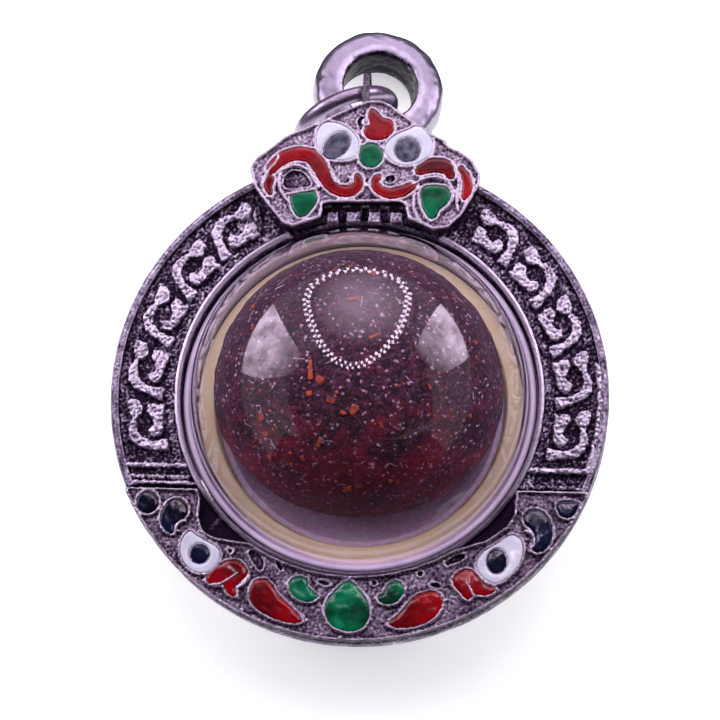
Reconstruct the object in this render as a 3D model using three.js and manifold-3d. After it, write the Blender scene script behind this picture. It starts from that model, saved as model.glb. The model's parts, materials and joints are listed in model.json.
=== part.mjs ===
// An amulet pendant: a ball of pressed powder in a clear capsule with a tall front dome, held in an oxidised
// silver case whose face ring carries scrolls, an enamelled mask crest and an enamelled lower crescent. A jump
// ring hangs in a lug behind the crest and carries a thick, hand-formed bail.
// Millimetres. The pendant lies on its flat back: X to the right, Y towards the bail, Z out of the face.
import * as THREE from "three";
import { mergeVertices } from "three/addons/utils/BufferGeometryUtils.js";
import Module from "manifold-3d";

// Clearances
const seatGap = 0.3;
const cellGap = 0.2;

// Face ring
const openingRadius = 18;
const faceWidth = 7;
const frameThickness = 2.9;
const outerLipWidth = 0.8;
const innerLipWidth = 0.5;
const lipHeight = 0.8;
const edgeChamfer = 0.5;

// Raised scrolls, five down each side of the face ring
const scrollInset = 3.2;
const scrollRise = 0.7;
const scrollSize = 4.3;
const scrollsPerSide = 5;
const firstScrollAngle = -11;
const scrollPitchAngle = 15.4;

// Divider bars between the scroll fields and the lower crescent
const barWidth = 0.5;
const barRise = 0.7;
const barSpacing = 1.5;
const barMargin = 0.9;

// Back shell and its screws
const backHeight = 11;
const shellWall = 1;
const shellFloor = 0.8;
const flangeWidth = 2.8;
const flangeThickness = 1.3;
const screwCount = 4;
const screwShankRadius = 0.5;
const screwHeadRadius = 1.1;
const screwHeadHeight = 0.8;
const screwDepth = 1.6;
const driverSlotWidth = 0.4;
const driverSlotDepth = 0.35;
const screwStartAngle = 45;

// Capsule and what it holds
const domeClearance = 0.6;
const domeWall = 1.2;
const domeFlangeWidth = 2.1;
const domeFlangeThickness = 1.1;
const cupWall = 0.9;
const cupRimThickness = 1.2;
const gasketWidth = 1.2;
const gasketThickness = 1.2;
const ballSideRoom = 1.8;
const ballFlatDepth = 1;
const ballFlatAbove = 0.2;
const ballFlatBelow = 2;

// Crest and crescent plates, and the enamel in their cells
const crestThickness = 2.5;
const crescentThickness = 1.9;
const cellDepth = 1.2;
const enamelProud = 0.1;
const toothWidth = 1.1;
const toothHeight = 1.9;
const toothThickness = 1.2;
const toothPitch = 1.9;
const toothCount = 4;
const toothReach = 2.3;
const crescentDropLeft = 10.5;
const crescentDropRight = 9.8;

// The face ring that the crest, crescent and enamel outlines are drawn on
const drawing = { opening: 18, face: 7 };

// Lug, jump ring and bail
const eyeX = -0.6;
const eyeReach = 8.5;
const eyeDrop = 4.4;
const eyeHoleHalfWidth = 1.65;
const eyeHoleHalfHeight = 1.75;
const eyeRim = 0.6;
const eyeThickness = 0.7;
const eyeFootWidth = 3.2;
const eyeFootLength = 3.2;
const eyeFootThickness = 1;
const ringWireRadius = 0.8;
const ringRadius = 5;
const ringTurn = 23;
const ringLean = 6;
const ringSlide = 57;
const bailRadius = 7.05;
const bailBore = 3.9;
const bailThickness = 5;
const bailSeatX = -0.57;
const bailSeatY = -0.37;
const bailSeatRise = 0.6;
const bailTilt = 12;
const bailRaisedTowards = 226;

// Radii that follow from the opening outwards
const caseRadius = openingRadius + faceWidth;
const scrollRadius = openingRadius + scrollInset;
const domeRadius = openingRadius - domeClearance;
const domeInnerRadius = domeRadius - domeWall;
const capsuleFlangeRadius = domeRadius + domeFlangeWidth;
const shellRadius = capsuleFlangeRadius + seatGap + shellWall;
const flangeRadius = shellRadius + flangeWidth;
const screwCircleRadius = (shellRadius + flangeRadius) / 2;
const ballHalfWidth = domeInnerRadius - ballSideRoom;
const ballHalfDepth = ballHalfWidth - ballFlatDepth;

// Heights that follow from the stack
const frameBottom = backHeight + seatGap;
const fieldTop = frameBottom + frameThickness;
const plateBottom = fieldTop + seatGap;
const domeFlangeTop = frameBottom - seatGap;
const domeFlangeBottom = domeFlangeTop - domeFlangeThickness;
const cupRimTop = domeFlangeBottom - seatGap;
const cupBottom = shellFloor + seatGap;
const ballCentreZ = cupBottom + cupWall + seatGap + ballHalfDepth;
const domeSpring = ballCentreZ + ballHalfDepth + seatGap + domeWall - domeRadius;
const eyeHoleY = caseRadius + eyeReach;
const eyeHoleZ = plateBottom - eyeDrop;

// Colours and finishes
const silver = { color: 0x8f879b, roughness: 0.42, metalness: 1 };
const darkSilver = { color: 0x3a3342, roughness: 0.6, metalness: 1 };
const paleSilver = { color: 0xa9a2b4, roughness: 0.35, metalness: 1 };
const clearAcrylic = { color: 0xd9cfe6, roughness: 0.05, metalness: 0, transparent: true, opacity: 0.25 };
const tanRubber = { color: 0xc9a77a, roughness: 0.6, metalness: 0 };
const powder = { color: 0x35141c, roughness: 0.9, metalness: 0 };
const redEnamel = { color: 0xa00008, roughness: 0.12, metalness: 0 };
const greenEnamel = { color: 0x006b3a, roughness: 0.12, metalness: 0 };
const navyEnamel = { color: 0x04061c, roughness: 0.1, metalness: 0 };
const whiteEnamel = { color: 0xd9d4ee, roughness: 0.15, metalness: 0 };
const slateEnamel = { color: 0x3b3950, roughness: 0.3, metalness: 0 };

const wasm = await Module();
wasm.setup();

const radians = (degrees) => THREE.MathUtils.degToRad(degrees);
const polar = (radius, degrees) => [radius * Math.cos(radians(degrees)), radius * Math.sin(radians(degrees))];

// A closed geometry as a solid for cutting and joining.
function solid(geometry) {
  const bare = geometry.clone();
  bare.deleteAttribute("normal");
  bare.deleteAttribute("uv");
  const merged = mergeVertices(bare, 1e-4);
  return new wasm.Manifold(
    new wasm.Mesh({
      numProp: 3,
      vertProperties: merged.attributes.position.array,
      triVerts: new Uint32Array(merged.index.array),
    }),
  );
}

// A cut or joined solid back as a geometry to draw.
function geometryOf(manifold) {
  const mesh = manifold.getMesh();
  const geometry = new THREE.BufferGeometry();
  geometry.setAttribute("position", new THREE.BufferAttribute(new Float32Array(mesh.vertProperties), 3));
  geometry.setIndex(new THREE.BufferAttribute(new Uint32Array(mesh.triVerts), 1));
  geometry.computeVertexNormals();
  return geometry;
}

// Turns a closed profile of [radius, height] points round Z. The points run anticlockwise.
function turned(profile, segments) {
  const points = [...profile, profile[0]].map(([radius, height]) => new THREE.Vector2(radius, height));
  return new THREE.LatheGeometry(points, segments).rotateX(Math.PI / 2);
}

// Turns a profile that starts and ends on the axis, from the bottom up.
function turnedSolid(profile, segments) {
  const points = profile.map(([radius, height]) => new THREE.Vector2(radius, height));
  return new THREE.LatheGeometry(points, segments).rotateX(Math.PI / 2);
}

// Moves points drawn for one face ring in or out, so that they keep their place between the opening and the edge.
function fitted(points) {
  return points.map(([x, y]) => {
    const drawn = Math.hypot(x, y);
    const radius = openingRadius + ((drawn - drawing.opening) * faceWidth) / drawing.face;
    return [(x * radius) / drawn, (y * radius) / drawn];
  });
}

function shapeOf(loop) {
  return new THREE.Shape(loop.map(([x, y]) => new THREE.Vector2(x, y)));
}

// A loop of [x, y] points raised from one height to another.
function extruded(loop, low, high) {
  const geometry = new THREE.ExtrudeGeometry(shapeOf(loop), { depth: high - low, bevelEnabled: false });
  return geometry.translate(0, 0, low);
}

// A smooth closed loop through a few points.
function smoothLoop(points, samplesPerPoint = 2) {
  const corners = points.map(([x, y]) => new THREE.Vector3(x, y, 0));
  const curve = new THREE.CatmullRomCurve3(corners, true, "centripetal");
  return curve.getPoints(points.length * samplesPerPoint).slice(0, -1).map((p) => [p.x, p.y]);
}

function ovalLoop([x, y], halfWidth, halfHeight, turn = 0, sides = 20) {
  return new THREE.EllipseCurve(x, y, halfWidth, halfHeight, 0, 2 * Math.PI, false, radians(turn))
    .getPoints(sides)
    .slice(0, -1)
    .map((p) => [p.x, p.y]);
}

// The loop moved outwards by a distance, each corner along the mean of its two edge normals.
function grown(loop, distance) {
  const side = Math.sign(THREE.ShapeUtils.area(loop.map(([x, y]) => new THREE.Vector2(x, y))));
  return loop.map(([x, y], i) => {
    const before = new THREE.Vector2(...loop[(i + loop.length - 1) % loop.length]);
    const after = new THREE.Vector2(...loop[(i + 1) % loop.length]);
    const here = new THREE.Vector2(x, y);
    const incoming = here.clone().sub(before).normalize();
    const outgoing = after.sub(here).normalize();
    const along = incoming.add(outgoing).normalize();
    return [x + along.y * side * distance, y - along.x * side * distance];
  });
}

// A band of changing width along a smooth spine, with rounded ends.
function bandLoop(spine, widths, steps = 14) {
  const line = new THREE.CatmullRomCurve3(spine.map(([x, y]) => new THREE.Vector3(x, y, 0)), false, "centripetal");
  const widthAt = (t) => {
    const place = t * (widths.length - 1);
    const low = Math.min(Math.floor(place), widths.length - 2);
    return THREE.MathUtils.lerp(widths[low], widths[low + 1], place - low);
  };
  const left = [];
  const right = [];
  for (let i = 0; i <= steps; i += 1) {
    const t = i / steps;
    const p = line.getPoint(t);
    const along = line.getTangent(t);
    const half = widthAt(t) / 2;
    left.push([p.x - along.y * half, p.y + along.x * half]);
    right.push([p.x + along.y * half, p.y - along.x * half]);
  }
  const tip = line.getPoint(1).addScaledVector(line.getTangent(1), widths.at(-1) / 2);
  const tail = line.getPoint(0).addScaledVector(line.getTangent(0), -widths[0] / 2);
  return [[tail.x, tail.y], ...right, [tip.x, tip.y], ...left.reverse()];
}

function arcPoints(radius, fromAngle, toAngle, steps) {
  return Array.from({ length: steps + 1 }, (_, i) => polar(radius, fromAngle + ((toAngle - fromAngle) * i) / steps));
}

function named(name, geometry, finish) {
  const mesh = new THREE.Mesh(geometry, new THREE.MeshStandardMaterial(finish));
  mesh.name = name;
  return mesh;
}

// The crest's outline: a mask that bridges the top of the ring, drawn from its left corner over the top.
const crestOutline = fitted([
  [-11.7, 22.9], [-11.1, 23.9], [-9.9, 24.8], [-8.3, 26.2], [-5.9, 27.3], [-3.4, 28.6], [-1.8, 29.4], [-0.1, 30.1],
  [1.1, 30.2], [2.1, 29.8], [3.1, 29], [4.5, 28.1], [5.8, 27.3], [6.9, 26.5], [7.8, 26.1], [8.1, 25.5],
  [9.2, 25], [10.6, 24.1], [11.4, 22.7], [11.4, 21.7], [10.5, 19.9], [9.6, 18.3], [8.4, 17.1], [6.9, 16.9],
  [5.6, 17.5], [4.5, 17.9], [4.2, 19.3], [3.5, 19.7], [-3.6, 19.5], [-4.4, 19.3], [-4.5, 17.9], [-5.5, 17.5],
  [-7.2, 16.9], [-8.2, 17.2], [-9.4, 18.6], [-10.6, 20.1], [-11.3, 21.2],
]);

// The crest's enamels, each a loop of [x, y] points in the cell that it fills.
const crestEnamels = {
  crest_red_petal: {
    finish: redEnamel,
    loop: smoothLoop([[0.3, 29.4], [1, 28.9], [1.4, 28.4], [2.4, 28.1], [2.6, 27.2], [1.9, 26.3], [1, 26.1], [0, 26.3],
      [-0.4, 26.9], [0, 27.7], [0, 28.6]]),
  },
  crest_green_gem: { finish: greenEnamel, loop: ovalLoop([0.4, 24.4], 1.2, 1.25) },
  crest_eye_left: {
    finish: whiteEnamel,
    loop: smoothLoop([[-5.1, 26.8], [-4.5, 27.7], [-3.4, 27.8], [-2.2, 27.3], [-1.2, 26.4], [-0.9, 25.3], [-1.2, 24.3],
      [-2.4, 23.9], [-3.8, 24], [-4.9, 24.8]]),
    hole: ovalLoop([-3.1, 25.4], 1.85, 1.3, 48),
  },
  crest_eye_right: {
    finish: whiteEnamel,
    loop: smoothLoop([[1.8, 25], [2.2, 26], [3.2, 26.8], [4.2, 27.2], [4.9, 27.6], [5.8, 27.1], [6.6, 25.9], [6.4, 24.7],
      [5.4, 23.9], [4.1, 23.5], [2.7, 23.8]]),
    hole: ovalLoop([4.1, 25.1], 1.5, 1.45),
  },
  crest_iris_left: { finish: slateEnamel, loop: ovalLoop([-3.1, 25.4], 1.65, 1.1, 48) },
  crest_iris_right: { finish: slateEnamel, loop: ovalLoop([4.1, 25.1], 1.3, 1.25) },
  crest_red_scroll_left: {
    finish: redEnamel,
    loop: bandLoop([[-9.8, 22.5], [-8.8, 23.7], [-7.2, 24.4], [-5.7, 24.2], [-4.6, 22.9], [-3.7, 21.4], [-2.6, 20.6],
      [-1.4, 20.6], [-0.7, 21.4], [-0.9, 22.2]], [0.9, 1.2, 1.3, 1.4, 1.4, 1.3, 1.1, 1, 0.9, 0.6], 18),
  },
  crest_red_crescent_left: {
    finish: redEnamel,
    loop: bandLoop([[-9.6, 20.1], [-9.9, 21], [-9.7, 21.8]], [0.4, 0.8, 0.9], 5),
  },
  crest_green_leaf_left: {
    finish: greenEnamel,
    loop: smoothLoop([[-7.5, 20.1], [-6.3, 20.3], [-5.2, 20.4], [-4.9, 19.7], [-5.4, 18.6], [-6, 17.9], [-6.7, 17.8],
      [-7.3, 18.6]]),
  },
  crest_red_scroll_right: {
    finish: redEnamel,
    loop: bandLoop([[5.3, 22.8], [6.1, 23.3], [7.3, 23.5], [8.2, 23.2], [8.6, 22.4]], [0.8, 1.3, 1.4, 1.4, 0.8], 9),
  },
  crest_red_crescent_right: {
    finish: redEnamel,
    loop: bandLoop([[9.5, 23.3], [10.1, 22.3], [10.3, 21.2], [10, 20.1]], [0.4, 0.8, 0.9, 0.5], 7),
  },
  crest_red_spiral_right: {
    finish: redEnamel,
    loop: bandLoop([[4.8, 21.3], [3.8, 20.7], [2.6, 20.4], [1.4, 20.8], [0.9, 21.5], [1.3, 22.2]],
      [0.7, 1, 1, 0.9, 0.8, 0.5], 12),
  },
  crest_green_leaf_right: {
    finish: greenEnamel,
    loop: smoothLoop([[5.7, 21], [6.7, 21.3], [8, 21.2], [8.6, 20.5], [8.2, 19.5], [7.5, 18.9], [7.2, 18.1], [6.7, 17.8],
      [6, 18.7], [5.6, 20]]),
  },
};

// The crescent's enamels: navy drops, an eye each side, and red and green leaves round the foot.
const crescentEnamels = {
  navy_dot_left: { finish: navyEnamel, loop: ovalLoop([-20.4, -11.9], 1.05, 1.05, 0, 16) },
  navy_comma_left: {
    finish: navyEnamel,
    loop: smoothLoop([[-18.7, -12.4], [-18.1, -11.7], [-17.2, -11.5], [-16.5, -12.1], [-16.5, -13], [-17.1, -13.6],
      [-17.7, -14.1], [-17.7, -14.9], [-18.5, -14.6], [-19, -13.6]]),
  },
  eye_left: {
    finish: whiteEnamel,
    loop: smoothLoop([[-16.1, -14.7], [-15.5, -15.1], [-14.2, -15.8], [-13.2, -16.4], [-13, -17.3], [-13.7, -18.4],
      [-14.9, -18.8], [-16.1, -18.2], [-16.8, -17], [-16.8, -15.7]]),
    hole: ovalLoop([-15, -16.9], 1.15, 1.15, 0, 16),
  },
  pupil_left: { finish: navyEnamel, loop: ovalLoop([-15, -16.9], 0.95, 0.95, 0, 16) },
  red_flame_left: {
    finish: redEnamel,
    loop: smoothLoop([[-14.2, -19.5], [-13.2, -18.2], [-12, -17.5], [-10.9, -17.7], [-10.2, -18.6], [-10.7, -19.4],
      [-11.4, -20.1], [-11.2, -21], [-12, -20.7], [-12.5, -19.9], [-13.4, -19.9]]),
  },
  red_drop_left: {
    finish: redEnamel,
    loop: smoothLoop([[-9.5, -19.6], [-8.3, -19.3], [-7.1, -20.8], [-5.8, -22], [-4.6, -23.3], [-6.2, -23.4],
      [-8.8, -22.4], [-9.8, -21.2]]),
  },
  green_comma_left: {
    finish: greenEnamel,
    loop: smoothLoop([[-6, -19.6], [-5.3, -19], [-4.4, -19.1], [-4.2, -19.9], [-3.6, -20.5], [-3.1, -20.8], [-4.2, -21.3],
      [-5.5, -20.8]]),
  },
  green_drop_centre: {
    finish: greenEnamel,
    loop: smoothLoop([[-0.2, -19.2], [0.9, -20.2], [1.7, -21.3], [1.9, -22.4], [1.4, -23.6], [0.2, -24.1], [-1.1, -23.9],
      [-2.1, -23.1], [-2.4, -22], [-2, -20.9], [-1.2, -20]]),
  },
  green_comma_right: {
    finish: greenEnamel,
    loop: smoothLoop([[3.7, -19.5], [4.4, -19.1], [5.1, -19.6], [5, -20.5], [4.3, -21.2], [3.3, -21.3], [2.7, -20.8],
      [3.3, -20.3]]),
  },
  red_drop_right: {
    finish: redEnamel,
    loop: smoothLoop([[3.8, -23.4], [4.6, -22.6], [5.4, -21.7], [6.1, -20.8], [7.2, -20.2], [8.4, -20.1], [9, -20.9],
      [8.5, -22.2], [7.3, -23.1], [5.6, -23.6]]),
  },
  red_flame_right: {
    finish: redEnamel,
    loop: smoothLoop([[10, -18.7], [10.6, -18], [11.6, -17.8], [12.4, -18.5], [13.1, -19.2], [14.2, -19.7], [13.1, -20.2],
      [12.1, -20.1], [11.5, -20.7], [10.8, -20], [10.2, -19.4]]),
  },
  eye_right: {
    finish: whiteEnamel,
    loop: smoothLoop([[12.3, -17], [12.9, -16], [14.3, -15.1], [15.6, -14.2], [16.4, -14.6], [16.7, -15.8], [16.3, -17.1],
      [15.3, -18.3], [14.1, -19], [13, -18.5], [12.4, -17.8]]),
    hole: ovalLoop([14.2, -16.8], 1.15, 1.4, 0, 16),
  },
  pupil_right: { finish: navyEnamel, loop: ovalLoop([14.2, -16.8], 0.95, 1.2, 0, 16) },
  navy_comma_right: {
    finish: navyEnamel,
    loop: smoothLoop([[16.8, -12.1], [17.6, -11.6], [18.7, -11.9], [19.3, -12.8], [19.5, -14], [19.1, -15.3],
      [18.1, -15.8], [17.5, -15.4], [18, -14.3], [17.5, -13.5], [16.9, -13]]),
  },
  navy_dot_right: { finish: navyEnamel, loop: smoothLoop([[20, -10.9], [20.8, -10.7], [22, -10.8], [21.8, -11.7],
    [21.1, -12.3], [20.3, -12]]) },
};

// The crescent's outline: the ring's lower sector, with a bay each side of the foot towards the opening.
function crescentOutline() {
  const innerRadius = openingRadius + innerLipWidth + seatGap;
  const leftAngle = 180 + THREE.MathUtils.radToDeg(Math.asin(crescentDropLeft / caseRadius));
  const rightAngle = 360 - THREE.MathUtils.radToDeg(Math.asin(crescentDropRight / caseRadius));
  const footLeft = 237;
  const footRight = 302;
  const below = (drop, points) => fitted(points.map(([x, depth]) => [x, -drop - depth]));
  const leftBay = below(crescentDropLeft, [[-15.3, 1.1], [-15.4, 2.7], [-14.9, 4.2], [-13.8, 4.8], [-12, 5.1]]);
  const rightBay = below(crescentDropRight, [[13.2, 5.1], [15.2, 3.6], [15.9, 2.4]]);
  return [
    ...arcPoints(caseRadius, leftAngle, rightAngle, 28),
    [Math.sqrt(innerRadius ** 2 - crescentDropRight ** 2), -crescentDropRight],
    ...rightBay.reverse(),
    ...arcPoints(innerRadius, footRight, footLeft, 10),
    ...leftBay.reverse(),
    [-Math.sqrt(innerRadius ** 2 - crescentDropLeft ** 2), -crescentDropLeft],
  ];
}

// Cuts a cell for each enamel into a plate's top.
function withCells(plate, enamels, top) {
  return Object.values(enamels).reduce((body, enamel) => {
    const cell = extruded(grown(fitted(enamel.loop), cellGap), top - cellDepth, top + 1);
    return body.subtract(solid(cell));
  }, plate);
}

// One enamel, resting over its cell's floor and standing a little proud of the plate.
function enamelMeshes(enamels, top) {
  return Object.entries(enamels).map(([name, { finish, loop, hole }]) => {
    const height = cellDepth - cellGap + enamelProud;
    const body = extruded(fitted(loop), 0, height);
    const shaped = hole ? geometryOf(solid(body).subtract(solid(extruded(fitted(hole), -1, height + 1)))) : body;
    const mesh = named(name, shaped, finish);
    mesh.position.z = top - cellDepth + cellGap;
    return mesh;
  });
}

// One raised scroll: a hooked head, a round back and a tail, in a box one unit wide.
function scrollLoop(mirrored) {
  const spine = [[-0.3, 0.52], [-0.14, 0.3], [-0.38, 0], [-0.2, -0.3], [0.08, -0.36], [0.42, -0.5]];
  const loop = bandLoop(spine, [0.2, 0.2, 0.22, 0.22, 0.2, 0.12], 12);
  const hook = bandLoop([[0.38, 0.44], [0.3, 0.24], [0.32, 0.06], [0.14, -0.1]], [0.24, 0.24, 0.22, 0.12], 7);
  const side = mirrored ? -1 : 1;
  return [loop, hook].map((part) => part.map(([x, y]) => [side * x * scrollSize, y * scrollSize]));
}

// The side scrolls of the face ring, each raised from the field.
function scrollSolids() {
  const made = [];
  for (let i = 0; i < scrollsPerSide; i += 1) {
    [false, true].forEach((onRight) => {
      const angle = firstScrollAngle + i * scrollPitchAngle;
      scrollLoop(onRight).forEach((loop) => {
        const raised = extruded(loop, fieldTop - seatGap, fieldTop + scrollRise);
        raised.translate(onRight ? scrollRadius : -scrollRadius, 0, 0);
        raised.rotateZ(radians(onRight ? angle : -angle));
        made.push(solid(raised));
      });
    });
  }
  return made;
}

// Two straight divider bars each side, over the crescent's ends.
function barSolids() {
  const made = [];
  [[-1, crescentDropLeft], [1, crescentDropRight]].forEach(([side, drop]) => {
    for (let i = 0; i < 2; i += 1) {
      const middle = barMargin + i * barSpacing - drop;
      const inner = Math.sqrt((openingRadius + innerLipWidth / 2) ** 2 - middle ** 2);
      const outer = Math.sqrt((caseRadius - outerLipWidth / 2) ** 2 - middle ** 2);
      const bar = new THREE.BoxGeometry(outer - inner, barWidth, barRise + seatGap);
      bar.translate((side * (inner + outer)) / 2, middle, fieldTop + (barRise - seatGap) / 2);
      made.push(solid(bar));
    }
  });
  return made;
}

function screwPlaces() {
  return Array.from({ length: screwCount }, (_, i) => polar(screwCircleRadius, screwStartAngle + (i * 360) / screwCount));
}

function frontFrame() {
  const inner = openingRadius;
  const lipTop = fieldTop + lipHeight;
  const ring = solid(turned([
    [inner, frameBottom], [caseRadius - edgeChamfer, frameBottom], [caseRadius, frameBottom + edgeChamfer],
    [caseRadius, lipTop - edgeChamfer], [caseRadius - edgeChamfer / 2, lipTop],
    [caseRadius - outerLipWidth, lipTop], [caseRadius - outerLipWidth, fieldTop],
    [inner + innerLipWidth, fieldTop], [inner + innerLipWidth, lipTop], [inner, lipTop],
  ], 56));
  const raised = [...scrollSolids(), ...barSolids()].reduce((body, piece) => body.add(piece), ring);
  const plates = [crestOutline, crescentOutline()];
  const cleared = plates.reduce(
    (body, outline) => body.subtract(solid(extruded(grown(outline, seatGap), fieldTop, lipTop + 1))),
    raised.subtract(solid(extruded(teethOutline(seatGap), fieldTop, lipTop + 1))),
  );
  const bored = screwPlaces().reduce((body, [x, y]) => {
    const bore = new THREE.CylinderGeometry(screwShankRadius + seatGap, screwShankRadius + seatGap,
      screwDepth + seatGap + 1, 12).rotateX(Math.PI / 2);
    bore.translate(x, y, frameBottom + (screwDepth + seatGap - 1) / 2);
    return body.subtract(solid(bore));
  }, cleared);
  const mesh = named("front_frame", geometryOf(bored.translate(0, 0, -frameBottom)), darkSilver);
  mesh.position.z = frameBottom;
  return mesh;
}

// The box that the crest's teeth stand in, over the opening's edge.
function teethOutline(margin) {
  const half = ((toothCount - 1) * toothPitch + toothWidth) / 2 + margin;
  const [[, root]] = fitted([[0, drawing.opening + toothReach]]);
  const low = root - toothHeight - margin;
  return [[-half, low], [half, low], [half, root], [-half, root]];
}

function crestPlate() {
  const plate = withCells(solid(extruded(crestOutline, 0, crestThickness)), crestEnamels, crestThickness);
  const first = (-(toothCount - 1) * toothPitch) / 2;
  const [[, root]] = fitted([[0, drawing.opening + toothReach]]);
  const body = Array.from({ length: toothCount }, (_, i) => first + i * toothPitch).reduce((joined, x) => {
    const tooth = new THREE.BoxGeometry(toothWidth, toothHeight, toothThickness);
    tooth.translate(x, root - toothHeight / 2, toothThickness / 2);
    return joined.add(solid(tooth));
  }, plate);
  const mesh = named("crest_plate", geometryOf(body), silver);
  mesh.position.z = plateBottom;
  return mesh;
}

function crescentPlate() {
  const plate = solid(extruded(crescentOutline(), 0, crescentThickness));
  const mesh = named("crescent_plate", geometryOf(withCells(plate, crescentEnamels, crescentThickness)), silver);
  mesh.position.z = plateBottom;
  return mesh;
}

function backShell() {
  const inner = shellRadius - shellWall;
  const flangeBottom = backHeight - flangeThickness;
  const shell = solid(turnedSolid([
    [0, 0], [shellRadius - 2 * edgeChamfer, 0], [shellRadius, 2 * edgeChamfer], [shellRadius, flangeBottom],
    [flangeRadius, flangeBottom], [flangeRadius, backHeight], [inner, backHeight], [inner, shellFloor],
    [0, shellFloor],
  ], 48));
  const bored = screwPlaces().reduce((body, [x, y]) => {
    const hole = new THREE.CylinderGeometry(screwShankRadius + seatGap, screwShankRadius + seatGap,
      flangeThickness + 2, 12).rotateX(Math.PI / 2);
    return body.subtract(solid(hole.translate(x, y, backHeight - flangeThickness / 2)));
  }, shell);
  return named("back_shell", geometryOf(bored), paleSilver);
}

function backScrews() {
  const shankTop = screwHeadHeight + seatGap + flangeThickness + seatGap + screwDepth;
  return screwPlaces().map(([x, y], i) => {
    const body = turnedSolid([
      [0, 0], [screwHeadRadius, 0], [screwHeadRadius, screwHeadHeight], [screwShankRadius, screwHeadHeight],
      [screwShankRadius, shankTop], [0, shankTop],
    ], 12);
    const slot = new THREE.BoxGeometry(3 * screwHeadRadius, driverSlotWidth, 2 * driverSlotDepth);
    const mesh = named("back_screw_" + (i + 1), geometryOf(solid(body).subtract(solid(slot))), paleSilver);
    mesh.position.set(x, y, backHeight - flangeThickness - seatGap - screwHeadHeight);
    mesh.rotation.z = radians(screwStartAngle * i);
    return mesh;
  });
}

// The clear front dome: a flanged skirt that runs up into a half sphere.
function clearDome() {
  const spring = domeSpring - domeFlangeBottom;
  const steps = 7;
  const outside = [];
  const inside = [];
  for (let i = 0; i <= steps; i += 1) {
    const angle = (90 * i) / steps;
    const [outX, outZ] = polar(domeRadius, angle);
    const [inX, inZ] = polar(domeInnerRadius, 90 - angle);
    outside.push([i === steps ? 0 : outX, outZ + spring]);
    inside.push([i === 0 ? 0 : inX, inZ + spring]);
  }
  const profile = [
    ...inside, [domeInnerRadius, 0], [capsuleFlangeRadius, 0], [capsuleFlangeRadius, domeFlangeThickness],
    [domeRadius, domeFlangeThickness], ...outside,
  ];
  const mesh = named("clear_dome", turnedSolid(profile, 44), clearAcrylic);
  mesh.position.z = domeFlangeBottom;
  return mesh;
}

// The clear rear cup: a shallow bowl under the ball with a flat rim that seats in the back shell.
function clearCup() {
  const steps = 6;
  const rimBottom = cupRimTop - cupRimThickness - cupBottom;
  const rimTop = cupRimTop - cupBottom;
  const bowl = (radius, top) => {
    const centre = domeInnerRadius + cupWall;
    const mouth = Math.acos((centre - top) / radius);
    return Array.from({ length: steps + 1 }, (_, i) => {
      const angle = (mouth * i) / steps;
      return [radius * Math.sin(angle), centre - radius * Math.cos(angle)];
    });
  };
  const profile = [
    ...bowl(domeInnerRadius + cupWall, rimBottom), [capsuleFlangeRadius, rimBottom], [capsuleFlangeRadius, rimTop],
    ...bowl(domeInnerRadius, rimTop).reverse(),
  ];
  const mesh = named("clear_cup", turnedSolid(profile, 36), clearAcrylic);
  mesh.position.z = cupBottom;
  return mesh;
}

function gasketRing() {
  const outer = domeInnerRadius - seatGap;
  const inner = outer - gasketWidth;
  const mesh = named("gasket_ring", turned([[inner, 0], [outer, 0], [outer, gasketThickness], [inner, gasketThickness]],
    40), tanRubber);
  mesh.position.z = cupRimTop + seatGap;
  return mesh;
}

// The hand-pressed ball: a little flat front to back, and flatter still along its lower side.
function powderBall() {
  const geometry = new THREE.SphereGeometry(1, 26, 14).rotateX(Math.PI / 2);
  const place = geometry.attributes.position;
  for (let i = 0; i < place.count; i += 1) {
    const half = ballHalfWidth - (place.getY(i) < 0 ? ballFlatBelow : ballFlatAbove);
    place.setXYZ(i, place.getX(i) * ballHalfWidth, place.getY(i) * half, place.getZ(i) * ballHalfDepth);
  }
  const mesh = named("powder_ball", geometry, powder);
  mesh.position.z = ballCentreZ;
  return mesh;
}

// The lug behind the crest: a foot under the crest's top and an oval eye that stands square to X.
function hangerEye() {
  const footTop = plateBottom - seatGap;
  const footStart = caseRadius + seatGap;
  const foot = new THREE.BoxGeometry(eyeFootWidth, eyeFootLength, eyeFootThickness);
  foot.translate(eyeX, footStart + eyeFootLength / 2, footTop - eyeFootThickness / 2);
  const outer = ovalLoop([eyeHoleY, eyeHoleZ], eyeHoleHalfWidth + eyeRim, eyeHoleHalfHeight + eyeRim, 0, 24);
  const hole = ovalLoop([eyeHoleY, eyeHoleZ], eyeHoleHalfWidth, eyeHoleHalfHeight, 0, 20);
  const stemLow = footTop - eyeFootThickness - eyeFootLength / 2;
  const stem = [
    [footStart, footTop - eyeFootThickness / 2], [footStart + eyeFootLength, footTop - eyeFootThickness / 2],
    [eyeHoleY, eyeHoleZ + eyeHoleHalfHeight + eyeRim / 2], [eyeHoleY - eyeHoleHalfWidth - eyeRim / 2, stemLow],
    [footStart + eyeFootLength / 2, stemLow],
  ];
  const plate = (loop, thickness) => {
    const flat = extruded(loop, -thickness / 2, thickness / 2);
    return solid(flat.rotateX(Math.PI / 2).rotateZ(Math.PI / 2).translate(eyeX, 0, 0));
  };
  const eye = plate(outer, eyeThickness).add(plate(stem, eyeThickness)).subtract(plate(hole, 3 * eyeThickness));
  return named("hanger_eye", geometryOf(solid(foot).add(eye)), silver);
}

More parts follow.
